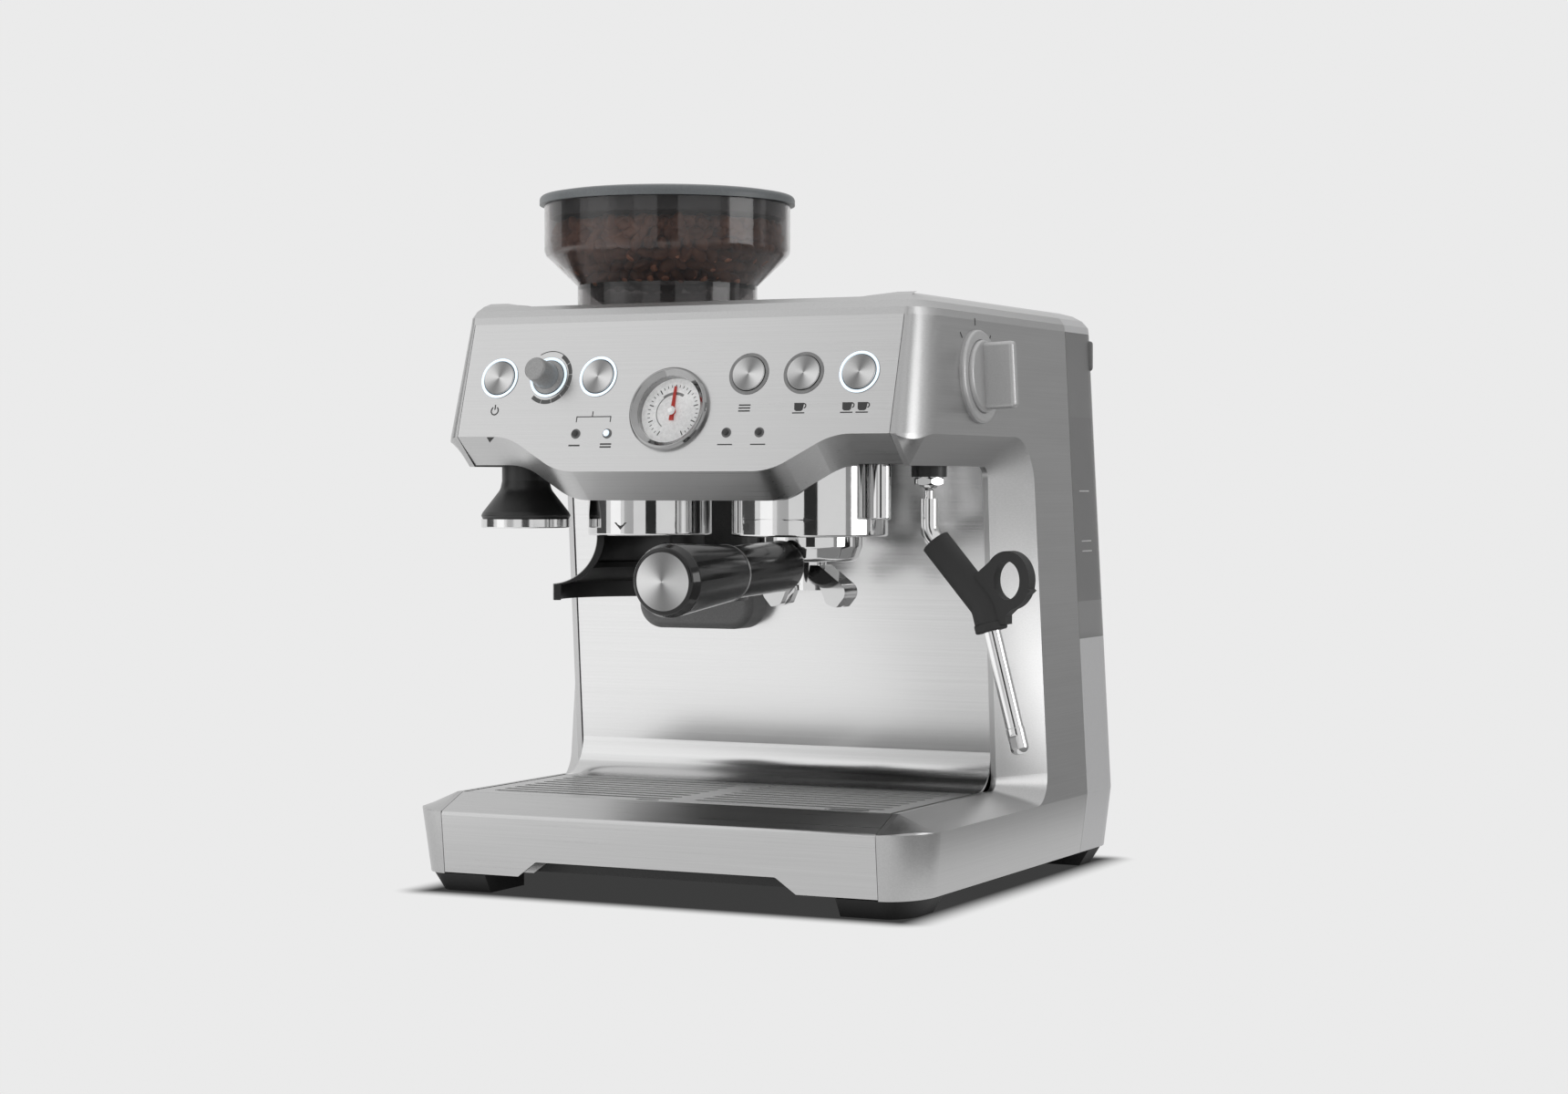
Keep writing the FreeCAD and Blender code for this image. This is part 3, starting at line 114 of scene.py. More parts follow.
def speckle(made, scale, dark, light, rough, depth=0.0):
    """Lets a noise drive colour, roughness and a fine relief"""
    shader = made.node_tree.nodes["Principled BSDF"]
    noise = noise_along(made, scale)
    even = spread(made, noise, 0.0, 1.0)
    link(made, shade_between(made, even, dark, light), shader.inputs["Base Color"])
    link(made, spread(made, noise, *rough), shader.inputs["Roughness"])
    if depth:
        relief = node(made, "ShaderNodeBump")
        relief.inputs["Distance"].default_value = depth
        relief.inputs["Strength"].default_value = 1.0
        link(made, noise, relief.inputs["Height"])
        link(made, relief.outputs["Normal"], shader.inputs["Normal"])
    return made


print("texture helpers ready")

# %% [markdown]
# ## Metal finishes
# The casing is steel sheet brushed along its length, so its grain is a noise that is long one way
# and very fine the other. An anisotropic shader could do it too, but the drawn grain survives the export.
# The front is brushed across and the sides from front to back; the sides have a darker grey than the front, which
# is painted shade. Chrome keeps only a trace of texture.

# %% Metals
grain_fine = 1500.0
grain_long = 9.0
across = (grain_long, grain_fine, grain_fine)
front_to_back = (grain_fine, grain_long, grain_fine)
long_across = (grain_long / 2, grain_fine, grain_fine)
brush_depth = 0.000003


def metal(name, grey, contrast, rough, scale, depth=0.0):
    """A grey metal whose tone swings by the contrast and whose roughness runs over a range"""
    made = finish(name, tone(grey), 1.0, sum(rough) / 2)
    return speckle(made, scale, tone(grey - contrast), tone(grey + contrast), rough, depth)


brushed_front = metal("brushed_front", 0.555, 0.025, (0.27, 0.34), across, brush_depth)
# the sides' steel is greyer than the front's: painted shade
brushed_side_painted_shade = metal("brushed_side_painted_shade", 0.5, 0.03, (0.3, 0.38), front_to_back, brush_depth)
splash_finish = metal("splash_finish", 0.66, 0.02, (0.18, 0.22), long_across)
grill_finish = metal("grill_finish", 0.5, 0.03, (0.33, 0.4), across)
satin_frame = metal("satin_frame", 0.55, 0.02, (0.38, 0.46), (900, 900, 900), 0.000004)
chrome = metal("chrome", 0.72, 0.02, (0.04, 0.09), (60, 60, 60))
wand_finish = metal("wand_finish", 0.75, 0.03, (0.08, 0.15), (30, 30, 30))
cast_finish = metal("cast_finish", 0.4, 0.06, (0.42, 0.6), (300, 300, 300), 0.0001)
# the bezel's chrome has a far darker grey than the other chrome: painted dark reflection
bezel_chrome_painted_dark = metal("bezel_chrome_painted_dark", 0.34, 0.03, (0.06, 0.1), (60, 60, 60))
print("metals made")

# %% [markdown]
# ## Plastics, rubber and clear pieces
# Moulded plastic has a fine even grain. The hopper and the tank are smoked: light goes through them but
# loses much of its strength on the way. A volume would do that by thickness; a tinted surface renders
# faster and is enough for thin walls. The tank's grey goes in steps by height: lighter in a low band,
# darker above it and a little lighter again near the top.

# %% Plastic helpers
def moulded(name, value, rough, grain=1100.0, depth=0.00002, tint=(1.0, 1.0, 1.0), contrast=0.14, **sockets):
    """A plastic with an even grain"""
    made = finish(name, tone(value, tint), 0.0, rough, **sockets)
    dark, light = tone(value * (1 - contrast), tint), tone(value * (1 + contrast), tint)
    return speckle(made, (grain, grain, grain), dark, light, (rough * 0.88, rough * 1.12), depth)


def printed(name, value):
    """Flat ink"""
    return moulded(name, value, 0.5, 700.0, 0.0)


def banded(made, low, high, stops):
    """Colours a piece in steps by height; stops are (share of the height, grey)"""
    place = node(made, "ShaderNodeTexCoord")
    split = node(made, "ShaderNodeSeparateXYZ")
    link(made, place.outputs["Object"], split.inputs["Vector"])
    steps = node(made, "ShaderNodeValToRGB")
    steps.color_ramp.interpolation = "CONSTANT"
    steps.color_ramp.elements.remove(steps.color_ramp.elements[1])
    for share, grey in stops[1:]:
        steps.color_ramp.elements.new(share).color = (*tone(grey), 1)
    steps.color_ramp.elements[0].color = (*tone(stops[0][1]), 1)
    link(made, spread(made, split.outputs["Z"], 0.0, 1.0, low, high), steps.inputs["Fac"])
    link(made, steps.outputs["Color"], made.node_tree.nodes["Principled BSDF"].inputs["Base Color"])
    return made


print("plastic helpers ready")

# %% Plastics
black_satin = moulded("black_satin", 0.012, 0.38)
black_gloss = moulded("black_gloss", 0.008, 0.14, 200.0, 0.0, Specular_IOR_Level=0.46)
black_rubber = moulded("black_rubber", 0.022, 0.62)
dark_moulded = moulded("dark_moulded", 0.035, 0.45)
charcoal = moulded("charcoal", 0.13, 0.42)
lid_grey = moulded("lid_grey", 0.13, 0.4, tint=(0.92, 1.0, 1.04))
silver_moulded = moulded("silver_moulded", 0.5, 0.4, depth=0.000008, tint=(1.0, 1.0, 1.01), contrast=0.05)
silver_dial = moulded("silver_dial", 0.52, 0.36, depth=0.000008, contrast=0.05, Metallic=0.5)
knob_grey = moulded("knob_grey", 0.3, 0.38, Metallic=0.5)
unlit_ring = moulded("unlit_ring", 0.2, 0.3, 300.0, 0.0, Metallic=0.7)
board_green = moulded("board_green", 0.1, 0.4, 400.0, 0.0, (0.3, 1.0, 0.45))
needle_red = moulded("needle_red", 0.62, 0.35, 500.0, 0.0, (1.0, 0.05, 0.03))
# the dial's white glows a little: painted light that brightens the dial and its cap in the shade of the bezel
dial_white = moulded("dial_white", 0.82, 0.45, 600.0, 0.0, Emission_Color=(1, 1, 1, 1),
                     Emission_Strength=0.22)
smoked = moulded("smoked", 0.38, 0.015, 50.0, 0.0, (1.0, 0.96, 0.96), Transmission_Weight=0.95, IOR=1.15,
                 Coat_Weight=0.6, Coat_IOR=1.5, Coat_Roughness=0.06)
tank_plain = moulded("tank_smoked", 0.3, 0.2, 80.0, 0.0, Transmission_Weight=0.5, IOR=1.2)
tank_low, tank_high = 0.138, 0.321
tank_smoked = banded(tank_plain, tank_low, tank_high, ((0.0, 0.44), (0.12, 0.34), (0.72, 0.365)))
clear = moulded("clear", 0.95, 0.03, 20.0, 0.0, Transmission_Weight=1.0, IOR=1.05)
print_ink = moulded("print_ink", 0.03, 0.5, 800.0, 0.0)
print("plastics made")

# %% [markdown]
# ## The control face
# The buttons, the gauge and the signs all sit on one face that leans back. Its lean and one point on it
# are enough to place anything there by its x and its height, so they are written down once.

# %% Places on the control face
face_lean = 0.304
face_up = Vector((0, face_lean, 1)).normalized()
face_out = Vector((0, -1, face_lean)).normalized()
face_tilt = math.pi / 2 - math.atan(face_lean)
chin = Vector((0, -0.1419, 0.2569))
control_z = 0.290
button_xs = {"button_power": -0.112, "button_filter_size": -0.048, "button_program": 0.046,
             "button_one_cup": 0.079, "button_two_cup": 0.112}
power_x, filter_x = button_xs["button_power"], button_xs["button_filter_size"]
one_cup_x, two_cup_x = button_xs["button_one_cup"], button_xs["button_two_cup"]
knob_x = -0.080
gauge_z = 0.271


def on_face(x, z):
    """A place on the control face at one height"""
    return Vector((x, chin.y + face_lean * (z - chin.z), z))


print("the face leans back by", round(math.degrees(math.atan(face_lean)), 1), "degrees")

# %% [markdown]
# ## Spun discs and lit rings
# Buttons and the handle's end are turned on a lathe. The fine rings catch light in two opposite wedges.
# An anisotropic shader with a radial tangent is the usual way; here the wedges are painted highlight and painted
# shade in the base colour, drawn by the angle round the disc, and the rings set the roughness by the distance from
# its middle, so the look stays with the piece.

# %% Spun and lit finishes
# the greys of the painted shade and painted highlight wedges in the discs' base colour
painted_shade_grey, painted_highlight_grey = 0.2, 0.62
rings_per_metre = 16000.0


def painted_highlight_wedges(made, place, turn):
    """0..1 twice round the disc, for the painted highlight and painted shade wedges"""
    split = node(made, "ShaderNodeSeparateXYZ")
    link(made, place, split.inputs["Vector"])
    angle = node(made, "ShaderNodeMath", operation="ARCTAN2")
    link(made, split.outputs["Y"], angle.inputs[0])
    link(made, split.outputs["X"], angle.inputs[1])
    double = node(made, "ShaderNodeMath", operation="MULTIPLY_ADD")
    double.inputs[1].default_value = 2.0
    double.inputs[2].default_value = turn
    link(made, angle.outputs[0], double.inputs[0])
    wedge = node(made, "ShaderNodeMath", operation="COSINE")
    link(made, double.outputs[0], wedge.inputs[0])
    return spread(made, wedge.outputs[0], 0.0, 1.0, -1.0, 1.0)


def lathe_rings(made, place):
    """-1..1 in fine rings about the middle"""
    length = node(made, "ShaderNodeVectorMath", operation="LENGTH")
    link(made, place, length.inputs[0])
    many = node(made, "ShaderNodeMath", operation="MULTIPLY")
    many.inputs[1].default_value = rings_per_metre
    link(made, length.outputs["Value"], many.inputs[0])
    rings = node(made, "ShaderNodeMath", operation="SINE")
    link(made, many.outputs[0], rings.inputs[0])
    return rings.outputs[0]


def spun(name, middle, tilt, turn=0.6):
    """A turned metal disc with painted highlight and shade wedges in its colour; its pattern is centred on middle
    and tilted about X
    """
    made = finish(name, tone(0.66), 1.0, 0.26)
    shader = made.node_tree.nodes["Principled BSDF"]
    place = node(made, "ShaderNodeTexCoord")
    mapping = node(made, "ShaderNodeMapping", vector_type="TEXTURE")
    mapping.inputs["Location"].default_value = middle
    mapping.inputs["Rotation"].default_value = (tilt, 0, 0)
    link(made, place.outputs["Object"], mapping.inputs["Vector"])
    wedges = painted_highlight_wedges(made, mapping.outputs["Vector"], turn)
    link(made, shade_between(made, wedges, tone(painted_shade_grey), tone(painted_highlight_grey)), shader.inputs["Base Color"])
    rings = lathe_rings(made, mapping.outputs["Vector"])
    link(made, spread(made, rings, 0.2, 0.34, -1.0, 1.0), shader.inputs["Roughness"])
    return made


lit_plain = finish("lit_blue", (0.8, 0.9, 1.0), 0.0, 0.3, Emission_Color=(0.7, 0.87, 1.0, 1),
                   Emission_Strength=0.5)
lit_blue = speckle(lit_plain, (300, 300, 300), (0.78, 0.88, 1.0), (0.84, 0.93, 1.0), (0.25, 0.35))
print("spun and lit finishes made")

# %% [markdown]
# ## Dressing the solids
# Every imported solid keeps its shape. Its material slots are filled with one of the finishes above.
# The spun buttons each get a material of their own, because the pattern is centred on one button.

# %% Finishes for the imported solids
plain = {
    "base_pan": dark_moulded, "rubber_feet": black_rubber, "left_side_panel": brushed_side_painted_shade,
    "right_side_panel": brushed_side_painted_shade, "control_fascia": brushed_front, "top_frame": satin_frame,
    "cup_tray": grill_finish, "splash_plate": splash_finish, "rear_cover": silver_moulded,
    "rear_bulkhead": dark_moulded, "head_floor": black_satin, "chute_housing": charcoal,
    "gauge_bezel": bezel_chrome_painted_dark, "gauge_dial": dial_white, "gauge_lens": clear, "gauge_needle": needle_red,
    "button_halos": unlit_ring, "indicator_lamps": charcoal, "grind_amount_knob": knob_grey,
    "steam_dial_bezel": silver_dial, "steam_dial": silver_dial, "grind_size_dial": silver_dial,
    "group_collar": chrome, "group_head": cast_finish, "group_gasket": black_rubber,
    "shower_screen": splash_finish, "grinder_collar": chrome, "grind_cradle": black_satin,
    "grind_trigger": dark_moulded, "hot_water_spout": chrome, "wand_nut": chrome,
    "steam_wand": wand_finish, "steam_grip": black_rubber, "steam_tip": wand_finish,
    "hopper_socket": dark_moulded, "hopper_bowl": smoked, "hopper_lid": lid_grey,
    "grinder_motor": cast_finish, "upper_burr": splash_finish, "lower_burr": splash_finish,
    "water_pump": charcoal, "thermocoil": cast_finish, "control_board": board_green,
    "portafilter_bowl": chrome, "filter_basket": splash_finish, "pour_spout": chrome,
    "portafilter_handle": black_gloss, "tamper_body": black_satin, "tamper_base": wand_finish,
    "drip_tray": dark_moulded, "drip_tray_front": brushed_front, "drip_grill": grill_finish,
    "tank_body": tank_smoked, "tank_lid": silver_moulded,
}
handle_end = Vector((0.057, -0.2519, 0.1804))


def dress(name, made):
    """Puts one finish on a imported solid"""
    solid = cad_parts[name]
    solid.data.materials.clear()
    solid.data.materials.append(made)


for name, made in plain.items():
    dress(name, made)
for name, x in button_xs.items():
    dress(name, spun("spun_" + name, on_face(x, control_z), face_tilt))
dress("handle_cap", spun("spun_handle_cap", handle_end, math.pi / 2, 0.0))
print("dressed", len(plain) + len(button_xs) + 1, "solids")

# %% [markdown]
# ## Tools for small pieces
# Printed marks are thin plates. They could be painted into a material, but a plate has a clean edge at any
# distance. A filled circle with as many corners as the mark is extruded once, and its corners are then
# moved onto the surface that carries the mark, flat or round.

# %% Modelling helpers
def edit_all(action, **values):
    """Runs one edit mode operator on the whole active mesh"""
    bpy.ops.object.mode_set(mode="EDIT")
    bpy.ops.mesh.select_all(action="SELECT")
    action(**values)
    bpy.ops.object.mode_set(mode="OBJECT")


def keep(piece, name, made, body):
    """Names a finished piece, applies its place, and hands it to its body"""
    bpy.ops.object.select_all(action="DESELECT")
    piece.select_set(True)
    bpy.context.view_layer.objects.active = piece
    bpy.ops.object.transform_apply(location=True, rotation=True, scale=True)
    piece.name = name
    piece.data.materials.clear()
    piece.data.materials.append(made)
    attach(piece, body)
    print(name, len(piece.data.polygons), "faces")


def join(pieces):
    """Makes one mesh of several"""
    bpy.ops.object.select_all(action="DESELECT")
    for piece in pieces:
        piece.select_set(True)
    bpy.context.view_layer.objects.active = pieces[0]
    if len(pieces) > 1:
        bpy.ops.object.join()
    return bpy.context.object


def plate(outline, place, thick):
    """A thin plate with the given (u, v) corners, laid on a surface by place(u, v, height)"""
    bpy.ops.object.select_all(action="DESELECT")
    bpy.ops.mesh.primitive_circle_add(vertices=len(outline), fill_type="NGON")
    piece = bpy.context.object
    corners = [vert.co.copy() for vert in piece.data.vertices]
    edit_all(bpy.ops.mesh.extrude_region_move, TRANSFORM_OT_translate={"value": (0, 0, 1)})
    for vert in piece.data.vertices:
        nearest = min(range(len(corners)), key=lambda i: (corners[i].xy - vert.co.xy).length)
        vert.co = place(*outline[nearest], thick if vert.co.z > 0.5 else -0.2 * thick)
    edit_all(bpy.ops.mesh.normals_make_consistent, inside=False)
    return piece


print("modelling helpers ready")

# %% Outlines of marks
def stroke(start, end, width, pieces=1):
    """Corners of a straight stroke, divided along its length so that it can follow a round surface"""
    start, end = Vector(start), Vector(end)
    side = Vector((start.y - end.y, end.x - start.x)).normalized() * width / 2
    steps = [start.lerp(end, i / pieces) for i in range(pieces + 1)]
    return [tuple(p + side) for p in steps] + [tuple(p - side) for p in reversed(steps)]


def arc(middle, low, high, start, end, pieces):
    """Corners of part of a ring between two radii; angles in degrees from the right"""
    turns = [math.radians(start + (end - start) * i / pieces) for i in range(pieces + 1)]
    outer = [(middle[0] + high * math.cos(t), middle[1] + high * math.sin(t)) for t in turns]
    inner = [(middle[0] + low * math.cos(t), middle[1] + low * math.sin(t)) for t in reversed(turns)]
    return outer + inner


def shift(outline, u, v):
    return [(a + u, b + v) for a, b in outline]


ink = 0.00012


def print_marks(outlines, place, name, made, body, thick=ink):
    """Makes one printed piece of several outlines"""
    keep(join([plate(outline, place, thick) for outline in outlines]), name, made, body)


def on_control(u, v, height):
    return on_face(u, v) + face_out * height


print("outlines ready")

# %% [markdown]
# ## Signs on the control face
# Plain pictures say what the buttons do: a power sign, a bracket under the filter button,
# one cup and two cups, and a ring of segments round the grind knob. They are printed flat on the steel,
# so each is a plate a tenth of a millimetre thick.

# %% Signs under the buttons
label_z = 0.2715
bracket_top, bracket_low = 0.2675, 0.2645
caption_z = 0.2515
tamper_mark_z = 0.2565


def cup_sign(u, v):
    """A small cup seen from the side, on its saucer"""
    bowl = [(-0.0032, 0.0022), (0.0026, 0.0022), (0.0022, -0.0014), (0.0012, -0.0022), (-0.0018, -0.0022),
            (-0.0028, -0.0014)]
    handle = arc((0.0026, 0.0006), 0.0009, 0.0015, -80, 90, 8)
    saucer = stroke((-0.0038, -0.0032), (0.0034, -0.0032), 0.0006)
    return [shift(part, u, v) for part in (bowl, handle, saucer)]


def level(low, high, z, width):
    """A level stroke on the control face"""
    return stroke((low, z), (high, z), width)


def upright(x, high, low, width):
    """An upright stroke on the control face"""
    return stroke((x, high), (x, low), width)


signs = [arc((power_x, label_z), 0.0019, 0.0026, 125, 415, 24),
         upright(power_x, label_z + 0.0034, label_z + 0.0006, 0.0007)]
signs += cup_sign(one_cup_x, label_z) + cup_sign(0.1075, label_z) + cup_sign(0.1165, label_z)
signs += [level(0.0425, 0.0495, label_z + d, 0.0007) for d in (0.0014, -0.0002, -0.0018)]
signs += [level(-0.058, -0.036, bracket_top, 0.0005), upright(filter_x, bracket_top + 0.003, bracket_top, 0.0005),
          upright(-0.0578, bracket_top, bracket_low, 0.0005), upright(-0.0362, bracket_top, bracket_low, 0.0005)]
signs += [level(-0.0605, -0.0535, caption_z, 0.0008), level(-0.0405, -0.0335, caption_z + 0.0007, 0.0008),
          level(-0.0405, -0.0335, caption_z - 0.0009, 0.0008), level(0.0325, 0.0415, caption_z, 0.0006),
          level(0.0525, 0.0615, caption_z, 0.0006)]
signs.append([(-0.1145, tamper_mark_z), (-0.1095, tamper_mark_z), (power_x, tamper_mark_z - 0.003)])
signs.append(arc((knob_x, control_z), 0.0146, 0.0150, 60, 120, 16))
print_marks(signs, on_control, "control_signs", print_ink, "machine")

# %% Segments round the grind knob
segment_sweep = 25.5
segments = [arc((knob_x, control_z), 0.0127, 0.0150, start, start + segment_sweep, 8)
            for start in range(-128, 60, 27)]
print_marks(segments, on_control, "grind_scale", printed("scale_grey", 0.08), "machine")

# %% [markdown]
# ## Lit rings and lamps
# Light comes out of a narrow ring round a button that is on. A torus pressed flat is close to the real
# light pipe and simpler than turning a profile. The lamps are half balls, cut from a sphere and pressed flat too.

# %% Light rings
def face_piece(piece, x, z, lift):
    """Stands a piece made about Z on the control face"""
    stand = Matrix.Rotation(face_tilt, 4, "X")
    piece.matrix_world = Matrix.Translation(on_face(x, z) + face_out * lift) @ stand


rings = []
for x in (power_x, knob_x, filter_x, two_cup_x):
    bpy.ops.mesh.primitive_torus_add(major_radius=0.01095, minor_radius=0.00085, major_segments=64,
                                     minor_segments=10)
    ring = bpy.context.object
    edit_all(bpy.ops.transform.resize, value=(1, 1, 0.5))
    face_piece(ring, x, control_z, 0.0003)
    rings.append(ring)
keep(join(rings), "light_rings", lit_blue, "machine")

# %% Lamp domes
lamp_z = 0.258
lit_lamp_x = -0.037


def half_ball(radius, segments, press):
    """The upper half of a ball, pressed flat by a share"""
    bpy.ops.mesh.primitive_uv_sphere_add(segments=segments, ring_count=segments // 2, radius=radius)
    ball = bpy.context.object
    edit_all(bpy.ops.mesh.bisect, plane_co=(0, 0, 0), plane_no=(0, 0, 1), clear_inner=True, use_fill=True)
    edit_all(bpy.ops.transform.resize, value=(1, 1, press))
    bpy.ops.object.shade_smooth_by_angle(angle=0.7)
    return ball


for x in (-0.057, lit_lamp_x, 0.037, 0.057):
    dome = half_ball(0.0019, 24, 0.5)
    face_piece(dome, x, lamp_z, 0.0007)
    lens = lit_blue if x == lit_lamp_x else dark_moulded
    keep(dome, f"lamp_dome_{round(1000 * x) + 100}", lens, "machine")

# %% [markdown]
# ## Pressure gauge
# The dial plate carries strokes in a sweep of most of a circle, a grey band for the usual pressure,
# and a round cap over the needle's pin. The cap turns with the needle, so it rides the needle's body.

# %% Gauge print
gauge_centre = on_face(0, gauge_z)
dial_level = -0.0042
dial_ink = 0.00006
dial_start, dial_sweep, dial_steps = -60, 300, 32
long_every = 4


def on_dial(u, v, height):
    return gauge_centre + Vector((u, 0, 0)) + face_up * v + face_out * (dial_level + height)


strokes = []
for step in range(dial_steps + 1):
    turn = math.radians(dial_start + dial_sweep * step / dial_steps)
    away = Vector((math.cos(turn), math.sin(turn)))
    inner, width = (0.0141, 0.0004) if step % long_every else (0.0128, 0.0006)
    strokes.append(stroke(away * inner, away * 0.0156, width))
print_marks(strokes, on_dial, "gauge_strokes", print_ink, "machine", dial_ink)
bands = [arc((0, 0), 0.0098, 0.0114, 60, 130, 20), arc((0, 0), 0.0098, 0.0104, 130, 235, 24)]
print_marks(bands, on_dial, "gauge_bands", printed("band_grey", 0.3), "machine", dial_ink)
hub = half_ball(0.0026, 28, 0.45)
face_piece(hub, 0, gauge_z, -0.0023)
keep(hub, "gauge_hub", dial_white, "needle")

# %% [markdown]
# ## Marks on the collars
# The group collar has an arrow that shows the way to lock the handle, and the grinder collar a triangle.
# A shrinkwrap could lay them on the chrome; wrapping each corner by its arc length is exact on a round
# collar, so the strokes are divided along their length and bent in that way.

# %% Collar marks
def round_collar(x, y, radius):
    """Wraps (arc length from the front, height) round an upright collar"""
    def wrap(u, v, height):
        turn, away = u / radius, radius + height
        return Vector((x + away * math.sin(turn), y - away * math.cos(turn), v))
    return wrap


arrow_z, stop_z = 0.2105, 0.2065
arrow = [stroke((-0.024, arrow_z), (0.016, arrow_z), 0.0006, 24),
         [(0.016, arrow_z + 0.0013), (0.022, arrow_z), (0.016, arrow_z - 0.0013)],
         stroke((-0.024, stop_z), (-0.019, stop_z), 0.0036, 4)]
print_marks(arrow, round_collar(0.057, -0.078, 0.044), "lock_arrow", print_ink, "machine")
triangle = [(-0.004, 0.2085), (0.004, 0.2085), (0.0, 0.2045)]
print_marks([triangle], round_collar(-0.044, -0.078, 0.036), "grind_mark", print_ink, "machine")

# %% [markdown]
# ## Coffee beans
# One bean is a flattened ball with a crease along its upper side. It is copied with seeded turns along the
# hopper's wall and over the heap, and all copies become one mesh. A physics drop would pack them more
# truly, but only the outer layer and the top can be seen.

# %% One bean
bean_finish = speckle(finish("bean_finish", (0.3, 0.13, 0.08), 0.0, 0.35), (45, 45, 45), (0.26, 0.105, 0.058),
                      (0.62, 0.29, 0.17), (0.25, 0.42))
crease_from, crease_half, crease_press = 0.001, 0.0012, 0.45
bpy.ops.object.select_all(action="DESELECT")
bpy.ops.mesh.primitive_uv_sphere_add(segments=12, ring_count=7, radius=0.0052)
bean = bpy.context.object
edit_all(bpy.ops.transform.resize, value=(0.75, 1.15, 0.6))
for vert in bean.data.vertices:
    if vert.co.z > crease_from and abs(vert.co.x) < crease_half:
        vert.co.z *= crease_press
bpy.ops.object.shade_smooth()
print("one bean has", len(bean.data.polygons), "faces")

# %% The filled hopper
rng = random.Random(7)
heap = Vector((-0.0525, -0.0417, 0))
cone_low_z, cone_high_z = 0.3465, 0.365
cone_low_r, cone_high_r = 0.0500, 0.0690
bean_jitter = 0.0008


def bowl_radius(z):
    """Inside of the hopper at one height"""
    if z > cone_high_z:
        return cone_high_r
    return cone_low_r + (z - cone_low_z) / (cone_high_z - cone_low_z) * (cone_high_r - cone_low_r)


wall_layers, layer_low, layer_rise, wall_gap, wall_step = 6, 0.3496, 0.0056, 0.0062, 0.0074
top_rings, top_rim, ring_step, top_step, top_z, top_rise = 11, 0.0618, 0.0058, 0.0068, 0.3780, 0.0003
places = []
for layer in range(wall_layers):
    z = layer_low + layer_rise * layer
    rim = bowl_radius(z) - wall_gap
    count = int(2 * math.pi * rim / wall_step)
    places += [(rim, 2 * math.pi * (i + 0.5 * (layer % 2)) / count, z) for i in range(count)]
for ring_number in range(top_rings):
    rim = top_rim - ring_step * ring_number
    count = max(1, int(2 * math.pi * rim / top_step))
    places += [(rim, 2 * math.pi * i / count, top_z + top_rise * ring_number) for i in range(count)]
copies = []
for rim, turn, z in places:
    copy = bean.copy()
    copy.data = bean.data.copy()
    bpy.context.collection.objects.link(copy)
    lifted = z + rng.uniform(-bean_jitter, bean_jitter)
    copy.location = heap + Vector((rim * math.cos(turn), rim * math.sin(turn), lifted))
    copy.rotation_euler = [rng.uniform(0, 2 * math.pi) for _ in range(3)]
    copies.append(copy)
bpy.data.objects.remove(bean)
keep(join(copies), "coffee_beans", bean_finish, "hopper")

# %% [markdown]
# ## Side dial and tank
# Three strokes on the wall show the steam dial's stops, and the tank has level lines and a catch at its
# rear corner. Both walls lean, so the places for the print follow the lean. The catch starts as a cube
# with rounded edges, and its outer face is inset and pushed in for a finger.

# %% Steam dial marks
dial_y, dial_z = -0.0485, 0.2895
mark_low, mark_high = 0.0285, 0.0325


def on_right_wall(u, v, height):
    """A place on the upper part of the right wall"""
    lean = 0.0033 / 0.0641
    return Vector((0.1475 - lean * (v - chin.z) + height, u, v))


def round_dial(radius, turn):
    return (dial_y + radius * math.sin(turn), dial_z + radius * math.cos(turn))


marks = [stroke(round_dial(mark_low, t), round_dial(mark_high, t), 0.0009) for t in (-0.75, 0.0, 0.75)]
print_marks(marks, on_right_wall, "steam_marks", print_ink, "machine")

# %% Tank level lines
wall_low_z = 0.0458


def on_tank_wall(u, v, height):
    """A place on the lower part of the right wall and on the tank behind it"""
    share = (v - wall_low_z) / (chin.z - wall_low_z)
    return Vector((0.159 - 0.0115 * share + height, u, v))


levels = [level(0.104, 0.120, z, 0.0007) for z in (0.226, 0.196, 0.190)]
print_marks(levels, on_tank_wall, "level_lines", printed("pale_ink", 0.5), "tank")

# %% Tank catch
bpy.ops.mesh.primitive_cube_add(size=1, location=(0.1415, 0.137, 0.308))
catch = bpy.context.object
catch.scale = (0.007, 0.014, 0.018)
catch.rotation_euler = (0, 0, math.radians(22))
bpy.ops.object.transform_apply(location=False, rotation=False, scale=True)
bpy.ops.object.modifier_add(type="BEVEL")
catch.modifiers[0].width = 0.0018
catch.modifiers[0].segments = 3
bpy.ops.object.modifier_apply(modifier=catch.modifiers[0].name)
bpy.ops.object.mode_set(mode="EDIT")
bpy.ops.mesh.select_all(action="DESELECT")
bpy.ops.object.mode_set(mode="OBJECT")
for face in catch.data.polygons:
    face.select = face.normal.x > 0.9 and face.area > 0.00005
bpy.ops.object.mode_set(mode="EDIT")
bpy.ops.mesh.inset(thickness=0.0025)
bpy.ops.mesh.extrude_region_move(TRANSFORM_OT_translate={"value": (-0.0012, 0, 0)})
bpy.ops.object.mode_set(mode="OBJECT")
bpy.ops.object.shade_smooth_by_angle(angle=0.6)
keep(catch, "tank_catch", charcoal, "tank")

# %% [markdown]
# ## Studio: backdrop and lamps
# The backdrop is one pale grey wherever it is seen, directly, in metal or through clear pieces.
# The light that falls on the machine is a little stronger from the front left, as from a wide window,
# and three weak lamps add to it.

# %% Backdrop and lamps
scene = bpy.context.scene
scene.view_settings.view_transform = "Standard"
backdrop_grey = 0.83
bright_side = Vector((-0.55, -0.83, 0.0)).normalized()


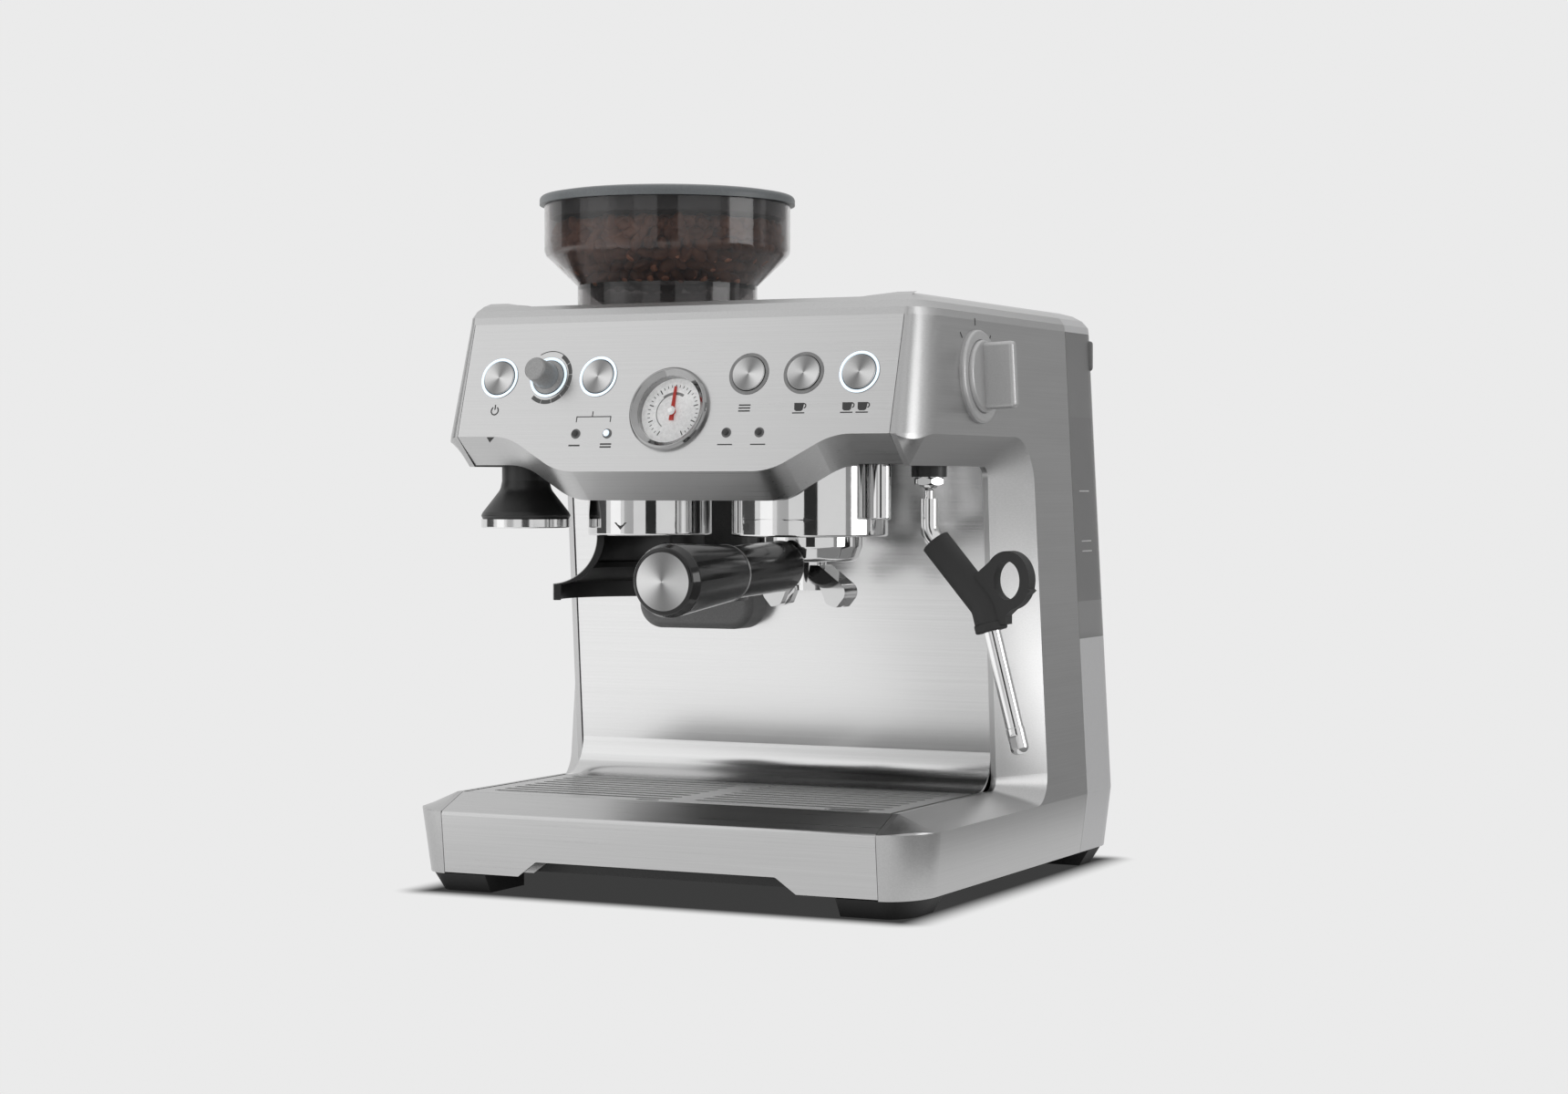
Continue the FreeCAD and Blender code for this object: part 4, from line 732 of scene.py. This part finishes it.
def seen_directly(made):
    """1 for rays from the camera and for what is seen in metal or through clear pieces"""
    path = node(made, "ShaderNodeLightPath")
    seen = path.outputs["Is Camera Ray"]
    for way in ("Is Glossy Ray", "Is Transmission Ray"):
        either = node(made, "ShaderNodeMath", operation="MAXIMUM")
        link(made, seen, either.inputs[0])
        link(made, path.outputs[way], either.inputs[1])
        seen = either.outputs[0]
    return seen


def reach(made, place, direction):
    """How far a place lies along a direction"""
    along = node(made, "ShaderNodeVectorMath", operation="DOT_PRODUCT")
    along.inputs[1].default_value = direction
    link(made, place, along.inputs[0])
    return along.outputs["Value"]


def mix_seen(made, unseen, seen, output):
    """Shows one shader to direct, glossy and transmitted rays and the other to the rest"""
    mix = node(made, "ShaderNodeMixShader")
    link(made, seen_directly(made), mix.inputs["Fac"])
    link(made, unseen, mix.inputs[1])
    link(made, seen, mix.inputs[2])
    link(made, mix.outputs["Shader"], made.node_tree.nodes[output].inputs["Surface"])


world = bpy.data.worlds.new("studio")
scene.world = world
world.use_nodes = True
backdrop = world.node_tree.nodes["Background"]
backdrop.inputs["Color"].default_value = (*tone(backdrop_grey), 1)
direction = node(world, "ShaderNodeTexCoord")
to_window = reach(world, direction.outputs["Generated"], bright_side)
soft_light = node(world, "ShaderNodeBackground")
soft_light.inputs["Color"].default_value = (1, 1, 1, 1)
link(world, spread(world, to_window, 0.56, 1.0, -0.95, 0.95, "SMOOTHSTEP"), soft_light.inputs["Strength"])
mix_seen(world, soft_light.outputs["Background"], backdrop.outputs["Background"], "World Output")


def lamp(name, place, target, size, power):
    bpy.ops.object.light_add(type="AREA", location=place)
    made = bpy.context.object
    made.name = name
    made.data.size = size
    made.data.energy = power
    made.rotation_euler = (Vector(target) - Vector(place)).to_track_quat("-Z", "Y").to_euler()


lamp("key_lamp", (-2.2, -1.9, 2.2), (0, 0, 0.2), 2.6, 6)
lamp("right_lamp", (2.45, 0.42, 0.4), (0.1, 0, 0.2), 1.2, 14)
lamp("top_lamp", (0.1, 0.6, 2.4), (0, 0, 0.2), 2.4, 1.5)
print("backdrop and lamps set")

# %% [markdown]
# ## Studio: floor
# The floor has the backdrop's grey, so no horizon shows. A real shadow on it would be faint and noisy in
# such even light. The floor's own glow is therefore dimmed by the distance from the machine's footprint,
# which paints a soft shadow round the feet; the same painted shadow also dims the light the floor gives off near
# the machine.

# %% Floor
footprint = (0.145, 0.151, 0)
shadow_from, shadow_to = -0.004, 0.024
white = (1, 1, 1, 1)


def times(made, first, second):
    """Product of a texture and another texture or a plain number"""
    product = node(made, "ShaderNodeMath", operation="MULTIPLY")
    link(made, first, product.inputs[0])
    if isinstance(second, float):
        product.inputs[1].default_value = second
    else:
        link(made, second, product.inputs[1])
    return product.outputs[0]


def beyond_footprint(made, place):
    """Distance outside the machine's rectangle on the floor"""
    step = place
    for operation, value in (("ABSOLUTE", None), ("SUBTRACT", footprint), ("MAXIMUM", (0, 0, 0)), ("LENGTH", None)):
        measure = node(made, "ShaderNodeVectorMath", operation=operation)
        link(made, step, measure.inputs[0])
        if value:
            measure.inputs[1].default_value = value
        step = measure.outputs["Value" if operation == "LENGTH" else "Vector"]
    return step


bpy.ops.mesh.primitive_plane_add(size=60, location=(0, 0, -0.0004))
floor = bpy.context.object
floor.name = "floor"
floor_paint = bpy.data.materials.new("floor_paint")
floor_paint.use_nodes = True
floor_paint.node_tree.nodes.remove(floor_paint.node_tree.nodes["Principled BSDF"])
ground = node(floor_paint, "ShaderNodeTexCoord").outputs["Object"]
# a painted shadow: the floor darkens towards the machine's footprint
painted_contact_shadow = spread(floor_paint, beyond_footprint(floor_paint, ground), 0.0, 1.0, shadow_from, shadow_to, "SMOOTHSTEP")
to_front = spread(floor_paint, reach(floor_paint, ground, bright_side), 0.4, 1.0, -0.5, 0.3, "SMOOTHSTEP")
to_right = spread(floor_paint, reach(floor_paint, ground, (0.903, -0.43, 0)), 1.4, 0.6, -0.25, 0.25, "SMOOTHSTEP")
glow = node(floor_paint, "ShaderNodeEmission")
glow.inputs["Color"].default_value = white
link(floor_paint, times(floor_paint, painted_contact_shadow, backdrop_grey), glow.inputs["Strength"])
sheen = node(floor_paint, "ShaderNodeEmission")
sheen.inputs["Color"].default_value = white
uneven = times(floor_paint, to_front, to_right)
link(floor_paint, times(floor_paint, uneven, painted_contact_shadow), sheen.inputs["Strength"])
mix_seen(floor_paint, sheen.outputs["Emission"], glow.outputs["Emission"], "Material Output")
floor.data.materials.append(floor_paint)
print("floor laid")

# %% [markdown]
# ## Studio: cards and camera
# Metal only looks like metal if it has something to reflect. White, grey and dark cards stand outside the
# picture, and two boards lie on the floor. Only reflections see them: they throw no shadow and light nothing.

# %% Cards
head = (0, 0, 0.3)
middle = (0, 0, 0.2)


def card(name, place, target, width, height, grey, glow=0.0, turn=0.0):
    """A card that faces a target, or lies flat without one; glow makes it a softbox"""
    bpy.ops.mesh.primitive_plane_add(size=1, location=place)
    made = bpy.context.object
    made.name = name
    made.scale = (width, height, 1)
    made.rotation_euler.z = math.radians(turn)
    if target:
        made.rotation_euler = (Vector(target) - Vector(place)).to_track_quat("Z", "Y").to_euler()
    made.visible_camera = False
    made.visible_shadow = False
    made.visible_diffuse = False
    made.data.materials.append(finish(name + "_paint", tone(grey), 0.0, 0.9, Emission_Color=white,
                                      Emission_Strength=glow))


card("camera_card", (1.37, -2.69, 0.3), head, 1.0, 2.4, 0.02)
card("white_card", (-1.6, -2.0, 0.8), head, 1.0, 2.4, 0.0, 1.2)
card("front_card", (-0.55, -2.45, 0.8), head, 0.8, 2.4, 0.7)
card("right_card", (1.1, 2.4, 0.6), (0.1, 0, 0.2), 2.4, 2.4, 0.5)
card("white_board", (-1.12, -1.06, 0.002), None, 1.2, 2.2, 0.0, 1.15, -28)
card("right_board", (1.07, 1.1, 0.002), None, 1.7, 3.0, 0.3)
card("side_card", (2.75, 0.5, 0.6), head, 2.4, 2.4, 0.5)
card("left_card", (-2.6, -0.8, 0.3), middle, 1.3, 2.0, 0.06)
print("cards set")

# %% Camera
look_down = 1.15
look_round = 25.98
bpy.ops.object.camera_add(location=(0.785, -1.605, 0.2289),
                          rotation=(math.radians(90 - look_down), 0, math.radians(look_round)))
camera = bpy.context.object
camera.data.sensor_width = 36
camera.data.lens = 69.5
camera.data.clip_start = 0.01
scene.camera = camera
print("camera at", tuple(round(v, 3) for v in camera.location))
